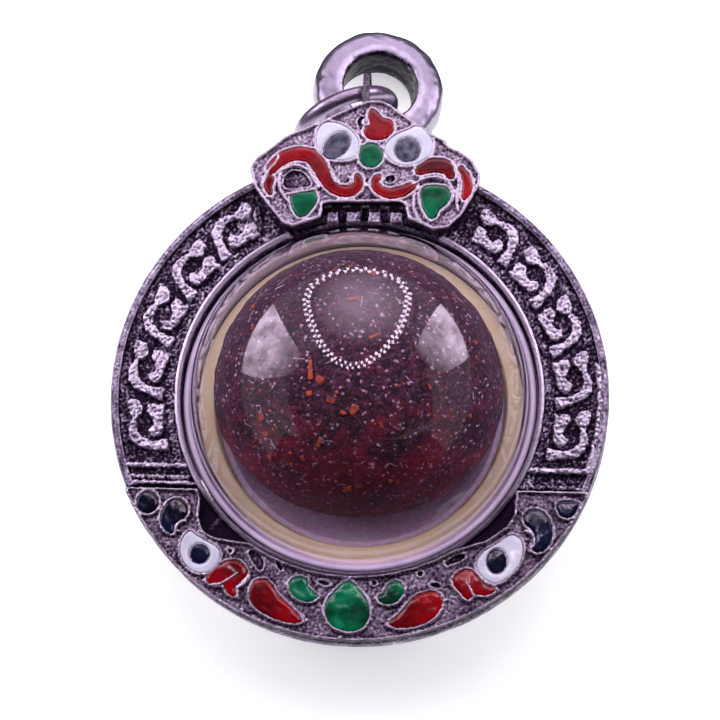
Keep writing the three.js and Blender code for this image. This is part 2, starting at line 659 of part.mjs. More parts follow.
// The jump ring, threaded through the lug's eye and leaning back on the bail, and the bail that it carries.
function jumpRing() {
  const turn = radians(ringTurn);
  const lean = radians(ringLean);
  const across = new THREE.Vector3(Math.cos(turn), Math.sin(turn), 0);
  const up = new THREE.Vector3(-Math.sin(turn) * Math.sin(lean), Math.cos(turn) * Math.sin(lean), Math.cos(lean));
  const normal = new THREE.Vector3().crossVectors(across, up);
  const [slideAcross, slideUp] = polar(ringRadius, ringSlide);
  const group = new THREE.Group();
  group.position.set(eyeX, eyeHoleY, eyeHoleZ).addScaledVector(across, -slideAcross).addScaledVector(up, -slideUp);
  group.quaternion.setFromRotationMatrix(new THREE.Matrix4().makeBasis(across, up, normal));
  group.add(named("jump_ring", new THREE.TorusGeometry(ringRadius, ringWireRadius, 10, 36), silver));
  return group;
}

// The bail: a thick ring with rounded edges, whose wall lies on the jump ring's lowest wire.
function bail(ringCentre) {
  const half = bailThickness / 2;
  const wall = bailRadius - bailBore;
  const side = [[0, 0.76], [0.19, 0.98], [0.5, 1], [0.84, 0.76], [1, 0.32]];
  const profile = [
    ...side.map(([across, up]) => [bailBore + across * wall, -up * half]),
    ...side.map(([across, up]) => [bailBore + across * wall, up * half]).reverse(),
  ];
  const [towardsX, towardsY] = polar(1, bailRaisedTowards);
  const [along, above] = polar(bailBore + wall / 2, bailTilt);
  const seatHeight = half + bailSeatRise - (ringRadius - ringWireRadius);
  const group = new THREE.Group();
  group.position.set(bailSeatX - towardsX * along, bailSeatY - towardsY * along, seatHeight - above).add(ringCentre);
  group.quaternion.setFromAxisAngle(new THREE.Vector3(towardsY, -towardsX, 0), radians(bailTilt));
  group.add(named("bail", turned(profile, 32), paleSilver));
  return group;
}

const caseGroup = new THREE.Group();
caseGroup.add(frontFrame(), crestPlate(), crescentPlate(), backShell(), ...backScrews());
caseGroup.add(clearDome(), clearCup(), gasketRing(), powderBall(), hangerEye());
caseGroup.add(...enamelMeshes(crestEnamels, plateBottom + crestThickness));
caseGroup.add(...enamelMeshes(crescentEnamels, plateBottom + crescentThickness));

const ringGroup = jumpRing();

const pendant = new THREE.Group();
pendant.add(caseGroup, ringGroup, bail(ringGroup.position));

export default pendant;
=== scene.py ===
# A ball amulet in a clear domed capsule, held in an oxidised silver case with an enamelled mask crest and an
# enamelled crescent, with its jump ring and bail. It lies on its back on a pale floor.
# Pieces are shaped in millimetres in the frame's own axes, and settled into metres when they are done.
import bmesh
import bpy
import json
import math
import random
from mathutils import Matrix, Vector


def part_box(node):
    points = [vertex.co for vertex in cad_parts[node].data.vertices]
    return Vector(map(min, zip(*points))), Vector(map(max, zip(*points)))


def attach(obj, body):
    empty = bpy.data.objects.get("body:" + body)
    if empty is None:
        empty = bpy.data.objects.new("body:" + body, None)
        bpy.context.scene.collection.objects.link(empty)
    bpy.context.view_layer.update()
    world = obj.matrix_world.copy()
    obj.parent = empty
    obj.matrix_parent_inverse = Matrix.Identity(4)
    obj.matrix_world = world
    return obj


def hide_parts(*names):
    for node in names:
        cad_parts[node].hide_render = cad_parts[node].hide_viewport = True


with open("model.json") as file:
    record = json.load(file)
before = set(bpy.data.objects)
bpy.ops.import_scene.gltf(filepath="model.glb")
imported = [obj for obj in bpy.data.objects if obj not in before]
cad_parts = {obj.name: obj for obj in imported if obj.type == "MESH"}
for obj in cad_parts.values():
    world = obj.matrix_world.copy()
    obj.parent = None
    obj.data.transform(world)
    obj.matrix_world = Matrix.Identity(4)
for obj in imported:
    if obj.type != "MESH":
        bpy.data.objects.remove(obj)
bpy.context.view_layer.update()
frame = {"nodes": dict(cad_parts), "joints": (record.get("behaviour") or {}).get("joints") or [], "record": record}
MM = 0.001

# A profile's point on the axis is drawn as a ring of this radius, and then merged, all in millimetres
POLE = 0.0001
MERGE = 0.001
CAD_MERGE = 0.002

# The photograph's view: the target and distance in millimetres, the angles in degrees
CAMERA_TARGET = (-0.04, 3.63, 14.5)
CAMERA_DISTANCE = 300
CAMERA_TILT = 14.6
CAMERA_SWING = 12.5
CAMERA_ROLL = 2.2
CAMERA_LENS = 149.4

# The face ring, in millimetres as the frame has it
OPENING = 18
CASE = 25
FRAME_BOTTOM = 11.3
FIELD = 14.2
LIP_TOP = 15
OUTER_LIP = 0.8
INNER_LIP = 0.5
RELIEF_TOP = 14.9
CREST_TOP = 17
CRESCENT_TOP = 16.4

# The capsule
DOME = 17
DOME_INSIDE = 16.7
DOME_SPRING = 13.6
CAPSULE_FLANGE = 19.5
FLANGE_BOTTOM = 9.9
FLANGE_TOP = 11
BALL_HALF = (14.4, 14.2, 13.4)
BALL_LOWER_HALF = 12.4
BALL_CENTRE = 15.7
CUP_BOTTOM = 1.1
CUP_RIM = (8.4, 9.6)
CUP_WALL = 0.9

# The jump ring's radius and its wire's, the bail's middle, and the way that the bail's bore points
JUMP_RING = 5
JUMP_WIRE = 0.8
BAIL_CENTRE = (0.215, 35.515, 3.692)
BAIL_AXIS = (0.1444, 0.1496, 0.9781)

# The plates: their wires' radius, and how far their ground and their bare hollows lie under the top
WIRE = 0.165
PLATE_SINK = 0.22
HOLLOW_DEPTH = 0.6

# Most of a noise lies between these values
NOISE_LOW = 0.3
NOISE_HIGH = 0.7


def deselect():
    for obj in bpy.context.selected_objects:
        obj.select_set(False)


def activate(obj):
    deselect()
    obj.select_set(True)
    bpy.context.view_layer.objects.active = obj


def edit(obj):
    activate(obj)
    bpy.ops.object.mode_set(mode="EDIT")


def leave_edit():
    bpy.ops.object.mode_set(mode="OBJECT")


def select_everything():
    bpy.ops.mesh.select_all(action="SELECT")


def add_to_scene(obj):
    bpy.context.scene.collection.objects.link(obj)


def select_points(obj, wanted):
    """Selects the vertices that a test on their place picks. The object is in edit mode."""
    mesh = bmesh.from_edit_mesh(obj.data)
    bpy.ops.mesh.select_all(action="DESELECT")
    bpy.ops.mesh.select_mode(type="VERT")
    for point in mesh.verts:
        point.select_set(wanted(point.co))
    mesh.select_flush_mode()
    bmesh.update_edit_mesh(obj.data)


def modify(obj, kind, **settings):
    """Adds a modifier and applies it."""
    activate(obj)
    modifier = obj.modifiers.new(kind.lower(), kind)
    for name, value in settings.items():
        setattr(modifier, name, value)
    bpy.ops.object.modifier_apply(modifier=modifier.name)


def join(pieces, name):
    """Makes one object of several pieces."""
    deselect()
    for piece in pieces:
        piece.select_set(True)
    bpy.context.view_layer.objects.active = pieces[0]
    if len(pieces) > 1:
        bpy.ops.object.join()
    pieces[0].name = name
    return pieces[0]


def stand(obj, location, turn):
    """Puts an object in its place, turned by a quaternion."""
    obj.rotation_mode = "QUATERNION"
    obj.rotation_quaternion = turn
    obj.location = location


def cad_copy(node, name):
    """A merged copy of a CAD node, in millimetres."""
    obj = frame["nodes"][node].copy()
    obj.data = obj.data.copy()
    for key in list(obj.keys()):
        del obj[key]
    obj.name = name
    obj.parent = None
    obj.hide_render = False
    obj.hide_viewport = False
    add_to_scene(obj)
    obj.scale = (1 / MM, 1 / MM, 1 / MM)
    activate(obj)
    bpy.ops.object.transform_apply(location=False, rotation=False, scale=True)
    edit(obj)
    select_everything()
    bpy.ops.mesh.remove_doubles(threshold=CAD_MERGE)
    leave_edit()
    return obj


def turned(name, profile, sides, closed=True):
    """A ring drawn at the profile's first point and extruded from point to point, (radius, height) each.

    A profile that meets the axis starts and ends there, because the ring loses its exact size on the way.
    """
    deselect()
    profile = [(max(radius, POLE), height) for radius, height in profile]
    radius, height = profile[0]
    bpy.ops.mesh.primitive_circle_add(vertices=sides, radius=radius, location=(0, 0, height))
    obj = bpy.context.object
    obj.name = name
    bpy.ops.object.transform_apply(location=True)
    edit(obj)
    select_everything()
    stops = profile[1:] + profile[:1] if closed else profile[1:]
    for next_radius, next_height in stops:
        bpy.ops.mesh.extrude_region_move(TRANSFORM_OT_translate={"value": (0, 0, next_height - height)})
        ratio = next_radius / radius
        bpy.ops.transform.resize(value=(ratio, ratio, 1), center_override=(0, 0, 0))
        radius, height = next_radius, next_height
    select_everything()
    bpy.ops.mesh.remove_doubles(threshold=MERGE)
    bpy.ops.mesh.normals_make_consistent(inside=False)
    leave_edit()
    return obj


def arc(radius, start, end, steps, height=0):
    """(radius, height) points on a circle about the axis, angles in degrees from the level."""
    angles = [math.radians(start + (end - start) * i / steps) for i in range(steps + 1)]
    return [(radius * math.cos(a), height + radius * math.sin(a)) for a in angles]


def roughen(obj, amount, size):
    """Pushes the surface in and out by a noise of that size, for cast metal and pressed powder."""
    texture = bpy.data.textures.new(obj.name + "_grain", "CLOUDS")
    texture.noise_scale = size
    modify(obj, "DISPLACE", texture=texture, strength=amount, mid_level=0.5, texture_coords="LOCAL")


def cast(obj, voxel, smoothing=2):
    """Melts joined shapes into one skin with soft edges."""
    modify(obj, "REMESH", mode="VOXEL", voxel_size=voxel, use_smooth_shade=True)
    if smoothing:
        modify(obj, "SMOOTH", factor=0.5, iterations=smoothing)


def drawn_face(name, points):
    """A face drawn through points, left in edit mode."""
    deselect()
    bpy.ops.mesh.primitive_circle_add(vertices=len(points), radius=1, fill_type="NGON")
    obj = bpy.context.object
    obj.name = name
    edit(obj)
    mesh = bmesh.from_edit_mesh(obj.data)
    mesh.verts.ensure_lookup_table()
    for vertex, point in zip(mesh.verts, points):
        vertex.co = point
    bmesh.update_edit_mesh(obj.data)
    return obj


def raised_shape(name, outline, low, high):
    """A face drawn through an outline of (x, y) points and raised from one height to another."""
    obj = drawn_face(name, [(x, y, low) for x, y in outline])
    select_everything()
    bpy.ops.mesh.extrude_region_move(TRANSFORM_OT_translate={"value": (0, 0, high - low)})
    select_everything()
    bpy.ops.mesh.normals_make_consistent(inside=False)
    leave_edit()
    return obj


def wire_along(name, points, height, wire, closed=False):
    """Round wire laid at a height along (x, y) points."""
    curve = bpy.data.curves.new(name, "CURVE")
    curve.dimensions = "3D"
    curve.bevel_depth = wire
    curve.bevel_resolution = 1
    curve.resolution_u = 4
    curve.use_fill_caps = True
    line = curve.splines.new("NURBS")
    line.points.add(len(points) - 1)
    for point, (x, y) in zip(line.points, points):
        point.co = (x, y, height, 1)
    line.order_u = 3
    line.use_cyclic_u = closed
    line.use_endpoint_u = not closed
    obj = bpy.data.objects.new(name, curve)
    add_to_scene(obj)
    activate(obj)
    bpy.ops.object.convert(target="MESH")
    return bpy.context.object


def hollow(plate, name, outline, top):
    """Cuts a hollow of that outline into a plate."""
    cutter = raised_shape(name, outline, top - HOLLOW_DEPTH, top + 1)
    modify(plate, "BOOLEAN", object=cutter, operation="DIFFERENCE", solver="EXACT")
    bpy.data.objects.remove(cutter)


def settle(obj, body, nodes, material, sharp=None):
    """Brings a finished piece into metres, gives it its finish, and puts it on its body."""
    activate(obj)
    obj.scale = (MM, MM, MM)
    bpy.ops.object.transform_apply(location=True, rotation=True, scale=True)
    if sharp:
        bpy.ops.object.shade_smooth_by_angle(angle=math.radians(sharp))
    else:
        bpy.ops.object.shade_smooth()
    obj.data.materials.clear()
    obj.data.materials.append(material)
    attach(obj, body)
    if nodes:
        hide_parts(*nodes)
    return obj


def set_inputs(tree, node, inputs):
    """Gives a node's inputs their values. A value that is another node's output is linked."""
    for name, value in inputs.items():
        if isinstance(value, bpy.types.NodeSocket):
            tree.links.new(value, node.inputs[name])
        else:
            node.inputs[name].default_value = value


def new_node(tree, kind, inputs=None, **settings):
    made = tree.nodes.new(kind)
    for name, value in settings.items():
        setattr(made, name, value)
    set_inputs(tree, made, inputs or {})
    return made


def blank_material(name):
    """A material with its node tree, its Principled shader and its Object coordinates."""
    material = bpy.data.materials.new(name)
    material.use_nodes = True
    tree = material.node_tree
    shader = tree.nodes["Principled BSDF"]
    place = tree.nodes.new("ShaderNodeTexCoord").outputs["Object"]
    return material, tree, shader, place


def noise(tree, place, scale, detail=4, roughness=0.5):
    made = new_node(tree, "ShaderNodeTexNoise", {"Vector": place, "Scale": scale, "Detail": detail,
                                                 "Roughness": roughness})
    return made.outputs["Fac"]


def spread(tree, value, low, high, to_low=0.0, to_high=1.0):
    made = new_node(tree, "ShaderNodeMapRange", {"Value": value, "From Min": low, "From Max": high,
                                                 "To Min": to_low, "To Max": to_high})
    return made.outputs["Result"]


def spread_noise(tree, value, to_low, to_high):
    return spread(tree, value, NOISE_LOW, NOISE_HIGH, to_low, to_high)


def combine(tree, first, second, operation="ADD"):
    made = new_node(tree, "ShaderNodeMath", {0: first, 1: second}, operation=operation)
    return made.outputs[0]


def ramp(tree, value, stops):
    """Colours a value by (position, colour) stops."""
    made = new_node(tree, "ShaderNodeValToRGB", {"Fac": value})
    elements = made.color_ramp.elements
    while len(elements) < len(stops):
        elements.new(0.5)
    for element, (position, colour) in zip(elements, stops):
        element.position = position
        element.color = (*colour, 1)
    return made.outputs["Color"]


def length_of(tree, vector):
    return new_node(tree, "ShaderNodeVectorMath", {0: vector}, operation="LENGTH").outputs["Value"]


def add_bump(tree, shader, height, strength, distance):
    bump = new_node(tree, "ShaderNodeBump", {"Height": height, "Strength": strength, "Distance": distance})
    set_inputs(tree, shader, {"Normal": bump.outputs["Normal"]})


def worn_silver(name, dark, bright, low, high, wear=0.5, speckled=0.5, rim=None):
    """Oxidised silver plate: near black below the low height, rubbed bright above the high one, in metres. Below
    the low height the black is oxide, and on the face ring's inner wall it is painted shadow.

    With a rim, it is darker beyond that radius, and bright again on the case's outer wall.
    """
    material, tree, shader, place = blank_material(name)
    height = new_node(tree, "ShaderNodeSeparateXYZ", {"Vector": place}).outputs["Z"]
    raised = spread(tree, height, low, high)
    fine = noise(tree, place, 3400, 5, 0.65)
    broad = noise(tree, place, 560, 3)
    pointiness = new_node(tree, "ShaderNodeNewGeometry").outputs["Pointiness"]
    in_a_crease, on_an_edge = 0.44, 0.58
    rubbed = spread(tree, pointiness, in_a_crease, on_an_edge, -wear, wear)
    speckle = combine(tree, spread_noise(tree, fine, -speckled, speckled),
                      spread_noise(tree, broad, -0.25, 0.25))
    level = combine(tree, combine(tree, raised, rubbed), speckle)
    if rim:
        blur, wall, darker, brighter = 0.0001, CASE * MM, -0.6, 0.85
        flat = new_node(tree, "ShaderNodeVectorMath", {0: place, 1: (1, 1, 0)}, operation="MULTIPLY")
        radius = length_of(tree, flat.outputs[0])
        level = combine(tree, level, spread(tree, radius, rim - blur, rim + blur, 0, darker))
        level = combine(tree, level, spread(tree, radius, wall - 2 * blur, wall - blur, 0, brighter))
    middle = tuple(a * 0.66 + b * 0.34 * tint for a, b, tint in zip(dark, bright, (1, 0.92, 1.05)))
    colour = ramp(tree, level, [(0.05, dark), (0.5, middle), (0.95, bright)])
    set_inputs(tree, shader, {"Base Color": colour, "Metallic": 1,
                              "Roughness": spread(tree, level, 0.1, 0.9, 0.55, 0.36)})
    add_bump(tree, shader, fine, 0.6, 0.00015)
    return material


def polished_silver(name, colour, roughness, bore=False):
    """Plain silver plate with fine scratches and soft dents. The bail's bore is painted black as shade, with a
    painted highlight round its mouth.
    """
    material, tree, shader, place = blank_material(name)
    broad = noise(tree, place, 160, 3)
    fine = noise(tree, place, 1500, 6, 0.65)
    stretched = new_node(tree, "ShaderNodeMapping", {"Vector": place, "Scale": (1, 9, 1),
                                                     "Rotation": (0.2, 0.3, 0.7)}).outputs["Vector"]
    scratch = noise(tree, stretched, 900, 4, 0.7)
    dull = tuple(c * 0.7 for c in colour)
    mottle = combine(tree, spread_noise(tree, broad, -0.2, 0.5), fine)
    plate = ramp(tree, mottle, [(0.2, dull), (0.7, colour)])
    if bore:
        offset = new_node(tree, "ShaderNodeVectorMath", {0: place, 1: Vector(BAIL_CENTRE) * MM},
                          operation="SUBTRACT").outputs[0]
        across = new_node(tree, "ShaderNodeVectorMath", {0: offset, 1: BAIL_AXIS},
                          operation="CROSS_PRODUCT").outputs[0]
        radius = combine(tree, length_of(tree, across), spread_noise(tree, fine, -0.0002, 0.0002))
        # Painted shade and highlight: the bore is made black as its shade, and the band round its mouth bright as
        # a highlight. The grey beyond leaves the plate nearly as it is.
        black, bright, grey = (0.02, 0.015, 0.025), (0.78, 0.77, 0.8), (0.46, 0.45, 0.47)
        bore_shade_and_mouth_highlight = ramp(tree, spread(tree, radius, 0.0039, 0.0051),
                       [(0.0, black), (0.25, bright), (0.5, bright), (0.85, grey)])
        plate = new_node(tree, "ShaderNodeMix", {0: 1, 6: plate, 7: bore_shade_and_mouth_highlight}, data_type="RGBA",
                         blend_type="OVERLAY").outputs[2]
    set_inputs(tree, shader, {"Base Color": plate, "Metallic": 1,
                              "Roughness": spread_noise(tree, scratch, roughness, roughness + 0.18)})
    add_bump(tree, shader, scratch, 0.15, 0.00008)
    return material


def enamel(name, deep, light, scale=330):
    """Poured enamel: a deep colour with paler swirls under a hard gloss."""
    material, tree, shader, place = blank_material(name)
    swirl = noise(tree, place, scale, 3, 0.55)
    set_inputs(tree, shader, {"Base Color": ramp(tree, swirl, [(0.35, deep), (0.7, light)]),
                              "Roughness": 0.09, "Coat Weight": 0.2, "Coat Roughness": 0.03})
    add_bump(tree, shader, noise(tree, place, 500, 2), 0.05, 0.0002)
    return material


def clear_plastic():
    """Clear acrylic with a faint lavender cast. Lamps reach what it holds."""
    material, tree, shader, place = blank_material("clear_acrylic")
    set_inputs(tree, shader, {"Base Color": (0.96, 0.94, 0.985, 1), "Roughness": 0.01, "IOR": 1.49,
                              "Transmission Weight": 1})
    add_bump(tree, shader, noise(tree, place, 120, 2), 0.02, 0.0003)
    pass_light = new_node(tree, "ShaderNodeBsdfTransparent", {"Color": (0.93, 0.91, 0.96, 1)})
    ray = new_node(tree, "ShaderNodeLightPath")
    mixed = new_node(tree, "ShaderNodeMixShader", {0: ray.outputs["Is Shadow Ray"],
                                                   1: shader.outputs["BSDF"], 2: pass_light.outputs["BSDF"]})
    set_inputs(tree, tree.nodes["Material Output"], {"Surface": mixed.outputs["Shader"]})
    return material


def pressed_powder():
    """Maroon-black powder of mixed grains, redder towards the lower side."""
    material, tree, shader, place = blank_material("pressed_powder")
    across = new_node(tree, "ShaderNodeSeparateXYZ", {"Vector": place}).outputs["Y"]
    redder = spread(tree, across, 0.006, -0.011)
    cloud = noise(tree, place, 300, 5, 0.6)
    level = combine(tree, redder, spread_noise(tree, cloud, -0.4, 0.4))
    black, brown, maroon = (0.01, 0.004, 0.011), (0.024, 0.002, 0.009), (0.36, 0.004, 0.036)
    ground = ramp(tree, level, [(0.15, black), (0.62, brown), (1.0, maroon)])
    grain = new_node(tree, "ShaderNodeTexVoronoi", {"Vector": place, "Scale": 4200, "Randomness": 1})
    kind = new_node(tree, "ShaderNodeSeparateColor", {"Color": grain.outputs["Color"]}).outputs
    coal, soot, rust = (0.002, 0.001, 0.002), (0.008, 0.002, 0.006), (0.15, 0.018, 0.035)
    plum, mauve, pale = (0.05, 0.01, 0.03), (0.16, 0.06, 0.13), (0.8, 0.56, 0.74)
    tint = ramp(tree, kind["Red"], [(0.0, coal), (0.45, soot), (0.62, rust), (0.8, plum), (0.95, mauve),
                                    (1.0, pale)])
    mixed = new_node(tree, "ShaderNodeMix", {0: 0.6, 6: ground, 7: tint}, data_type="RGBA")
    set_inputs(tree, shader, {"Base Color": mixed.outputs[2], "Roughness": 0.8})
    fine = noise(tree, place, 3000, 4, 0.7)
    relief = combine(tree, fine, spread(tree, grain.outputs["Distance"], 0, 0.6, 0.6, 0))
    add_bump(tree, shader, relief, 0.8, 0.0002)
    return material


def plain_finish(name, dark, light, roughness, scale):
    """A dull surface with a soft two-tone mottle."""
    material, tree, shader, place = blank_material(name)
    mottle = noise(tree, place, scale, 4, 0.6)
    set_inputs(tree, shader, {"Base Color": ramp(tree, mottle, [(0.3, dark), (0.7, light)]),
                              "Roughness": roughness})
    add_bump(tree, shader, mottle, 0.3, 0.0001)
    return material


# The finishes. The worn silvers are dark below the first height, and bright above the second
OXIDE_AND_SHADOW_BLACK = (0.032, 0.018, 0.044)
BRIGHT_SILVER = (0.82, 0.77, 0.89)
PLATE_SILVER = (0.7, 0.63, 0.72)
# On the face ring, the near black below the low height is oxide in the field and painted shadow on the opening's
# inner wall, in the gap round the dome.
ring_metal = worn_silver("face_ring_oxide_and_painted_shadow", OXIDE_AND_SHADOW_BLACK, BRIGHT_SILVER, 0.0141, 0.0150, rim=0.0242)
crest_metal = worn_silver("worn_crest_silver", OXIDE_AND_SHADOW_BLACK, PLATE_SILVER, 0.016, 0.01715, 0.7, 0.25)
crescent_metal = worn_silver("worn_crescent_silver", OXIDE_AND_SHADOW_BLACK, PLATE_SILVER, 0.0154, 0.0168, 0.7, 0.3)
tooth_metal = worn_silver("worn_tooth_silver", OXIDE_AND_SHADOW_BLACK, BRIGHT_SILVER, 0.0138, 0.0172, 0.5, 0.4)
lug_metal = worn_silver("worn_lug_silver", (0.02, 0.015, 0.025), (0.2, 0.18, 0.22), 0.006, 0.016, 0.3)
wire_metal = polished_silver("ring_wire_silver", (0.42, 0.36, 0.46), 0.24)
bail_metal = polished_silver("bail_silver", (0.38, 0.365, 0.43), 0.26, bore=True)
back_metal = polished_silver("back_silver", (0.6, 0.57, 0.65), 0.28)
red_glaze = enamel("red_enamel", (0.06, 0.0, 0.002), (0.27, 0.0, 0.003))
green_glaze = enamel("green_enamel", (0.0, 0.022, 0.01), (0.0, 0.16, 0.07))
navy_glaze = enamel("navy_enamel", (0.0006, 0.0008, 0.004), (0.003, 0.005, 0.035))
white_glaze = enamel("white_enamel", (0.42, 0.39, 0.54), (0.56, 0.53, 0.65), 300)
slate_glaze = enamel("slate_enamel", (0.02, 0.02, 0.04), (0.11, 0.1, 0.16), 1600)
acrylic = clear_plastic()
powder_finish = pressed_powder()
tan_finish = plain_finish("tan_rubber", (1.0, 0.74, 0.42), (1.0, 0.86, 0.56), 0.55, 500)
collar_plastic = plain_finish("frosted_collar", (0.6, 0.46, 0.68), (0.8, 0.64, 0.88), 0.25, 300)
dusty_plastic = plain_finish("dusty_plastic", (0.78, 0.48, 0.76), (1.0, 0.82, 1.0), 0.5, 2400)
chip_finish = plain_finish("rust_chips", (0.14, 0.012, 0.006), (0.5, 0.09, 0.03), 0.7, 1800)
fibre_finish = plain_finish("pale_fibres", (0.2, 0.12, 0.16), (0.7, 0.6, 0.68), 0.7, 900)
GLAZES = {"red_enamel": red_glaze, "green_enamel": green_glaze, "navy_enamel": navy_glaze,
          "white_enamel": white_glaze, "slate_enamel": slate_glaze}


def photo_camera():
    """Sets up the camera, and returns its right, up and backward directions."""
    tilt, swing, roll = (math.radians(angle) for angle in (CAMERA_TILT, CAMERA_SWING, CAMERA_ROLL))
    back = Vector((math.sin(tilt) * math.sin(swing), -math.sin(tilt) * math.cos(swing), math.cos(tilt)))
    level_right = Vector((0, 1, 0)).cross(back).normalized()
    level_up = back.cross(level_right)
    right = math.cos(roll) * level_right + math.sin(roll) * level_up
    up = math.cos(roll) * level_up - math.sin(roll) * level_right
    turn = Matrix((right, up, back)).transposed().to_4x4()
    data = bpy.data.cameras.new("photo_camera")
    data.lens = CAMERA_LENS
    data.sensor_width = 36
    data.clip_start = 0.01
    data.clip_end = 20
    camera = bpy.data.objects.new("photo_camera", data)
    add_to_scene(camera)
    place = Vector(CAMERA_TARGET) * MM + back * CAMERA_DISTANCE * MM
    camera.matrix_world = Matrix.Translation(place) @ turn
    bpy.context.scene.camera = camera
    return right, up, back


view_right, view_up, view_back = photo_camera()


# The degrees round the face ring that the crest and the crescent lie over
CREST_SPAN = (66, 114)
CRESCENT_SPAN = (204.5, 337)


def face_ring():
    """A turned body with raised lips, lowered where the plates lie over it."""
    body = turned("face_ring", [
        (OPENING, FRAME_BOTTOM), (CASE - 0.5, FRAME_BOTTOM), (CASE, FRAME_BOTTOM + 0.5),
        (CASE, LIP_TOP - 0.45), (CASE - 0.2, LIP_TOP - 0.1), (CASE - 0.45, LIP_TOP),
        (CASE - OUTER_LIP, LIP_TOP - 0.12),
        (CASE - OUTER_LIP - 0.1, FIELD - 0.05), (OPENING + INNER_LIP + 0.1, FIELD - 0.05),
        (OPENING + INNER_LIP, LIP_TOP - 0.15), (OPENING + INNER_LIP / 2, LIP_TOP), (OPENING, LIP_TOP - 0.15),
    ], 288)

    def under_a_plate(point):
        angle = math.degrees(math.atan2(point.y, point.x)) % 360
        under_crest = CREST_SPAN[0] < angle < CREST_SPAN[1]
        outside = point.xy.length > CASE - OUTER_LIP - 0.05
        under_crescent = CRESCENT_SPAN[0] < angle < CRESCENT_SPAN[1] and outside
        return point.z > FIELD + 0.2 and (under_crest or under_crescent)

    edit(body)
    select_points(body, under_a_plate)
    bpy.ops.transform.translate(value=(0, 0, FIELD - LIP_TOP))
    leave_edit()
    modify(body, "SUBSURF", levels=1, render_levels=1, subdivision_type="SIMPLE")
    roughen(body, 0.05, 1.6)
    return settle(body, "case", ["front_frame"], ring_metal, 50)


# One raised scroll in millimetres about its own middle: the round back with its head and tail, and the hook
SCROLL_BACK = [(-1.38, 3.3), (-0.79, 3.05), (-0.41, 2.07), (-0.8, 1.56), (-1.3, 1.18), (-1.36, 0.6),
               (-1.36, -0.04), (-0.96, -0.76), (-0.14, -1.3), (0.74, -1.34), (1.6, -1.3), (1.5, -2.6),
               (0.54, -2.3), (-0.55, -1.95), (-1.46, -1.62), (-2.08, -0.94), (-2.24, -0.03), (-2.05, 0.81),
               (-1.7, 1.28), (-1.95, 2.2), (-2.0, 2.9), (-1.75, 3.3)]
SCROLL_HOOK = [(0.1, 2.5), (0.78, 2.5), (1.1, 2.2), (1.65, 2.3), (1.6, 1.6), (1.39, 0.93), (1.29, 0.08),
               (1.05, -0.71), (0.51, -0.95), (-0.03, -0.7), (-0.28, -0.12), (0.03, 0.08), (0.38, 0.29),
               (0.4, 0.77), (0.2, 1.23), (-0.14, 1.8)]
SCROLL_CIRCLE = 21.1
SCROLL_COUNT = 5
FIRST_SCROLL = -11
SCROLL_STEP = 15.4
RELIEF_FOOT = FIELD - 0.4

# The fields' hatched edges: each circle's radius, and its ribs' length and rise
HATCHING = [(19.05, 0.7, 0.16), (23.6, 0.8, 0.1)]
RIB_WIDTH = 0.24

# The ribs on the first circle, and the degrees that each circle starts at and spreads over
HATCH_RIBS = 84
HATCH_START = -28
HATCH_SPREAD = 92

# The bars under the scrolls: how far down the lower one lies, and each one's place above it, width and top
LEFT_BARS = (9.5, [(0, 0.34, RELIEF_TOP - 0.1), (1.75, 0.4, RELIEF_TOP)])
RIGHT_BARS = (8.9, [(0, 0.3, RELIEF_TOP - 0.5), (1.6, 0.55, RELIEF_TOP)])
BAR_REACH = (18.6, 24.3)


def scrolls(side, name):
    """One side's raised scrolls. The side is -1 on the left and 1 on the right."""
    parts = []
    for i in range(SCROLL_COUNT):
        turn = math.radians((FIRST_SCROLL + SCROLL_STEP * i) * side)
        for outline in (SCROLL_BACK, SCROLL_HOOK):
            placed = []
            for x, y in outline:
                at = Vector((side * (SCROLL_CIRCLE - x), y, 0))
                at.rotate(Matrix.Rotation(turn, 3, "Z"))
                placed.append((at.x, at.y))
            parts.append(raised_shape(name + "_scroll", placed, RELIEF_FOOT, RELIEF_TOP))
    return parts


def hatching(side):
    """The short ribs along the field's inner and outer edges."""
    parts = []
    for radius, length, rise in HATCHING:
        count = HATCH_RIBS * radius / HATCHING[0][0]
        for i in range(int(count)):
            angle = math.radians(HATCH_START + i * HATCH_SPREAD / count)
            at = (side * radius * math.cos(angle), radius * math.sin(angle), FIELD)
            deselect()
            bpy.ops.mesh.primitive_cube_add(size=1, location=at, rotation=(0, 0, side * angle))
            rib = bpy.context.object
            rib.scale = (length, RIB_WIDTH, 2 * rise)
            bpy.ops.object.transform_apply(location=True, rotation=True, scale=True)
            parts.append(rib)
    return parts


def divider(name, side, drop, bars):
    """The bars under the scrolls, across the field from its inner to its outer edge."""
    inner, outer = BAR_REACH
    parts = []
    for above, width, top in bars:
        low, high = above - drop - width / 2, above - drop + width / 2
        corners = [(inner, low), (outer, low), (outer, high), (inner, high)]
        bar = [(side * math.sqrt(radius ** 2 - y ** 2), y) for radius, y in corners]
        parts.append(raised_shape(name + "_bar", bar, RELIEF_FOOT, top))
    return parts


def beads(drop):
    """The row of beads on the left bar."""
    parts = []
    for i in range(13):
        deselect()
        at = (-16.7 - 0.5 * i, 0.62 - drop, FIELD + 0.3)
        bpy.ops.mesh.primitive_ico_sphere_add(subdivisions=1, radius=0.3, location=at)
        parts.append(bpy.context.object)
    return parts


def rope_edge(name):
    """The rope up the outer edge of the right field."""
    radius, bottom, top, step = 24, -18, 12, 3
    angles = [math.radians(angle) for angle in range(bottom, top, step)]
    edge = [(radius * math.cos(angle), radius * math.sin(angle)) for angle in angles]
    return wire_along(name + "_rope", edge, FIELD + 0.5, 0.26)


